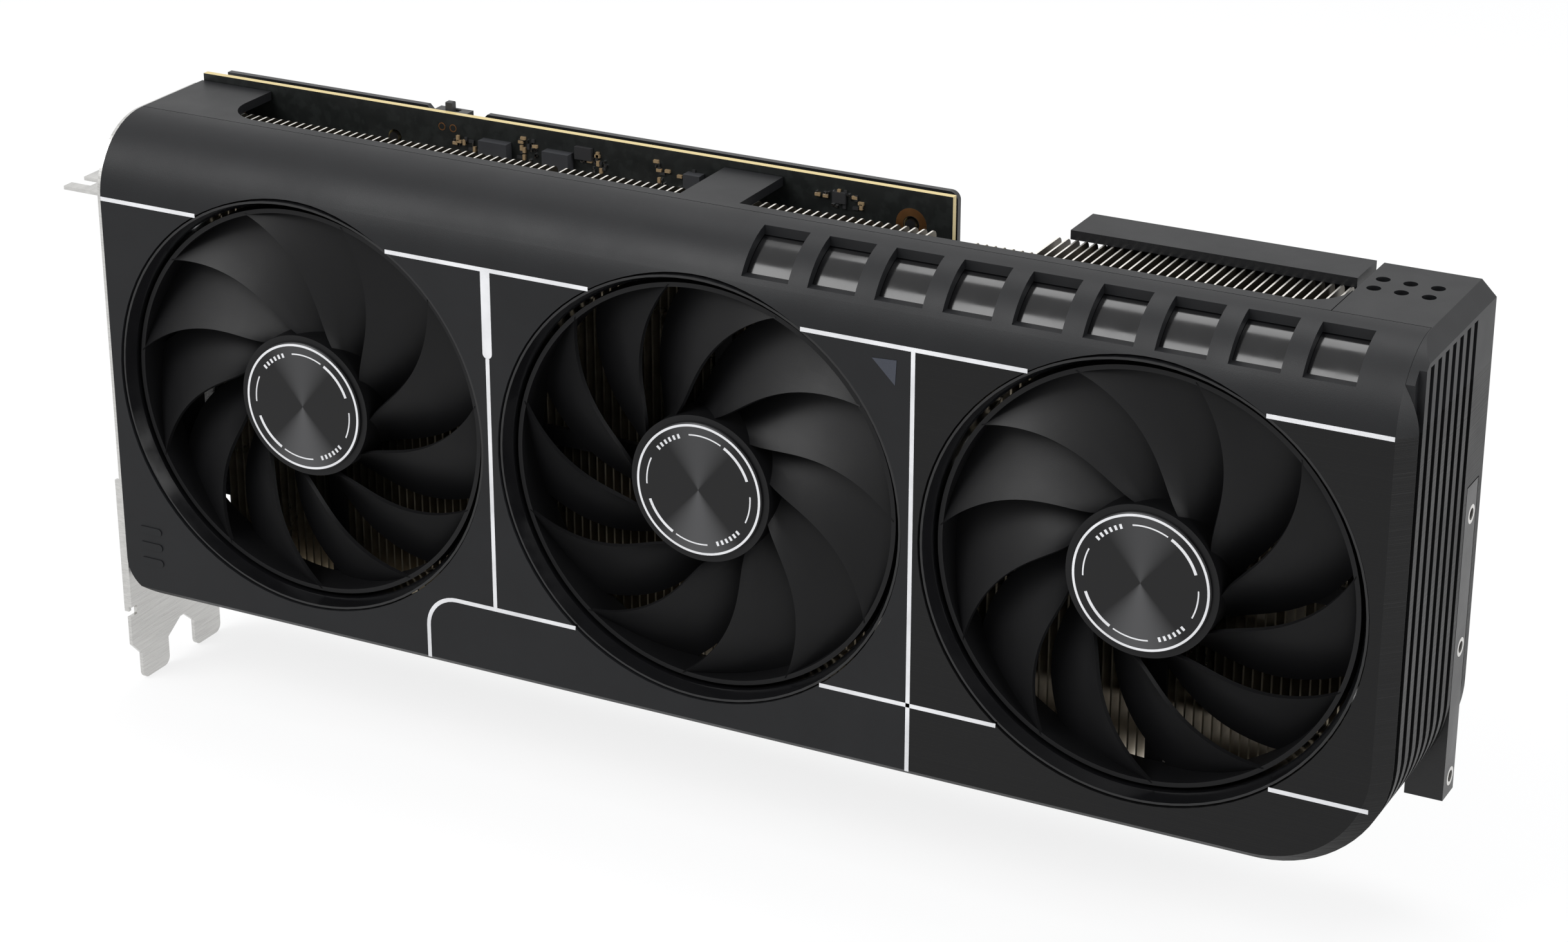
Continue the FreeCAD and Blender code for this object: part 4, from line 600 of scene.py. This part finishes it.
def plated_rings():
    """Copper rings round the board's upper screw holes and two small test points."""
    verts, faces = [], []
    large, small = (2.7, 1.7), (0.8, 0.22)
    places = [(BOARD_HIGH.x - 9.5 * MM, SCREW_Z, large), (BOARD_LOW.x + 7.7 * MM, SCREW_Z, large)]
    places += [(x * MM, BOARD_HIGH.z - 3.2 * MM, small) for x in (-31.3, -28.4)]
    for x, z, (radius, width) in places:
        path = arc(x, z, radius * MM, 0, 360, 32)
        ribbon_faces(verts, faces, path, width * MM, BOARD_LOW.y - 0.03 * MM, BOARD_LOW.y)
    copper = cast_metal("plated_copper", (0.62, 0.30, 0.12), 0.3).material
    add_mesh("plated_rings", verts, faces, copper, "card")


printed_lines()
corner_marks()
triangle_mark()
for number in (1, 2, 3):
    badge_marks(number)
contact_strips()
scattered_parts()
placed_parts()
plated_rings()

# ---------------------------------------------------------------- floor, light and camera


def view_switch(tree):
    """1 for rays that see the surroundings directly or in a reflection, 0 for light."""
    path = tree.nodes.new("ShaderNodeLightPath")
    total = path.outputs["Is Camera Ray"]
    for name in ("Is Glossy Ray", "Is Transmission Ray"):
        node = tree.nodes.new("ShaderNodeMath")
        node.operation = "MAXIMUM"
        tree.links.new(total, node.inputs[0])
        tree.links.new(path.outputs[name], node.inputs[1])
        total = node.outputs[0]
    return total


def blend_shaders(tree, factor, first, second, output):
    mix = tree.nodes.new("ShaderNodeMixShader")
    tree.links.new(factor, mix.inputs["Fac"])
    tree.links.new(first.outputs[0], mix.inputs[1])
    tree.links.new(second.outputs[0], mix.inputs[2])
    tree.links.new(mix.outputs[0], output.inputs["Surface"])


def make_world():
    """White where it is seen, soft and slightly cool where it lights the card."""
    world = bpy.data.worlds.new("studio")
    bpy.context.scene.world = world
    world.use_nodes = True
    tree = world.node_tree
    tree.nodes.clear()
    seen = tree.nodes.new("ShaderNodeBackground")
    seen.inputs["Color"].default_value = (1, 1, 1, 1)
    seen.inputs["Strength"].default_value = 1.0
    lit = tree.nodes.new("ShaderNodeBackground")
    lit.inputs["Color"].default_value = (0.95, 0.97, 1.0, 1)
    lit.inputs["Strength"].default_value = 0.55
    blend_shaders(tree, view_switch(tree), lit, seen, tree.nodes.new("ShaderNodeOutputWorld"))


FLOOR_GAP = 0.2 * MM
FLOOR_GLOW = 0.8


def make_floor():
    """A white plane that glows where it is seen, so that only soft shadows show."""
    bpy.ops.mesh.primitive_plane_add(size=6, location=(0, 0, cad_low.z - FLOOR_GAP))
    floor = bpy.context.object
    floor.name = "floor"
    material = bpy.data.materials.new("floor_white")
    material.use_nodes = True
    tree = material.node_tree
    bsdf = tree.nodes["Principled BSDF"]
    bsdf.inputs["Base Color"].default_value = (0.9, 0.9, 0.9, 1)
    bsdf.inputs["Roughness"].default_value = 0.9
    bsdf.inputs["Specular IOR Level"].default_value = 0.1
    glow = tree.nodes.new("ShaderNodeEmission")
    share = tree.nodes.new("ShaderNodeMath")
    share.operation = "MULTIPLY"
    share.inputs[1].default_value = FLOOR_GLOW
    tree.links.new(view_switch(tree), share.inputs[0])
    blend_shaders(tree, share.outputs[0], bsdf, glow, tree.nodes["Material Output"])
    floor.data.materials.append(material)


def add_light(name, place, size, power):
    data = bpy.data.lights.new(name, "AREA")
    data.shape = "RECTANGLE"
    data.size, data.size_y = size
    data.energy = power
    lamp = bpy.data.objects.new(name, data)
    bpy.context.scene.collection.objects.link(lamp)
    lamp.location = place
    aim = (cad_low + cad_high) / 2 - Vector(place)
    lamp.rotation_euler = aim.to_track_quat("-Z", "Y").to_euler()


def make_lights():
    add_light("key", (-0.5, -0.9, 1.0), (0.9, 0.7), 14)
    add_light("top", (0.1, 0.25, 1.1), (1.0, 0.4), 6)
    add_light("side", (1.1, -0.2, 0.45), (0.3, 0.8), 6)


# The camera's place, aim, roll and lens, solved from the photograph.
CAMERA_PLACE = Vector((393.5, -650.9, 358.7)) * MM
CAMERA_AIM = Vector((-0.4258, 0.8160, -0.3909))
CAMERA_ROLL = math.radians(0.09)
SENSOR_W = 36
LENS = 83.73


def make_camera():
    """The photograph's own viewpoint."""
    data = bpy.data.cameras.new("camera")
    data.sensor_width = SENSOR_W
    data.lens = LENS
    data.clip_start = 0.01
    camera = bpy.data.objects.new("camera", data)
    bpy.context.scene.collection.objects.link(camera)
    forward = CAMERA_AIM.normalized()
    side = forward.cross(Vector((0, 0, 1))).normalized()
    up = side.cross(forward)
    turn = Matrix((side, up, -forward)).transposed().to_4x4()
    roll = Matrix.Rotation(CAMERA_ROLL, 4, "Z")
    camera.matrix_world = Matrix.Translation(CAMERA_PLACE) @ turn @ roll
    bpy.context.scene.camera = camera


make_world()
make_floor()
make_lights()
make_camera()
bpy.context.scene.view_settings.view_transform = "Standard"
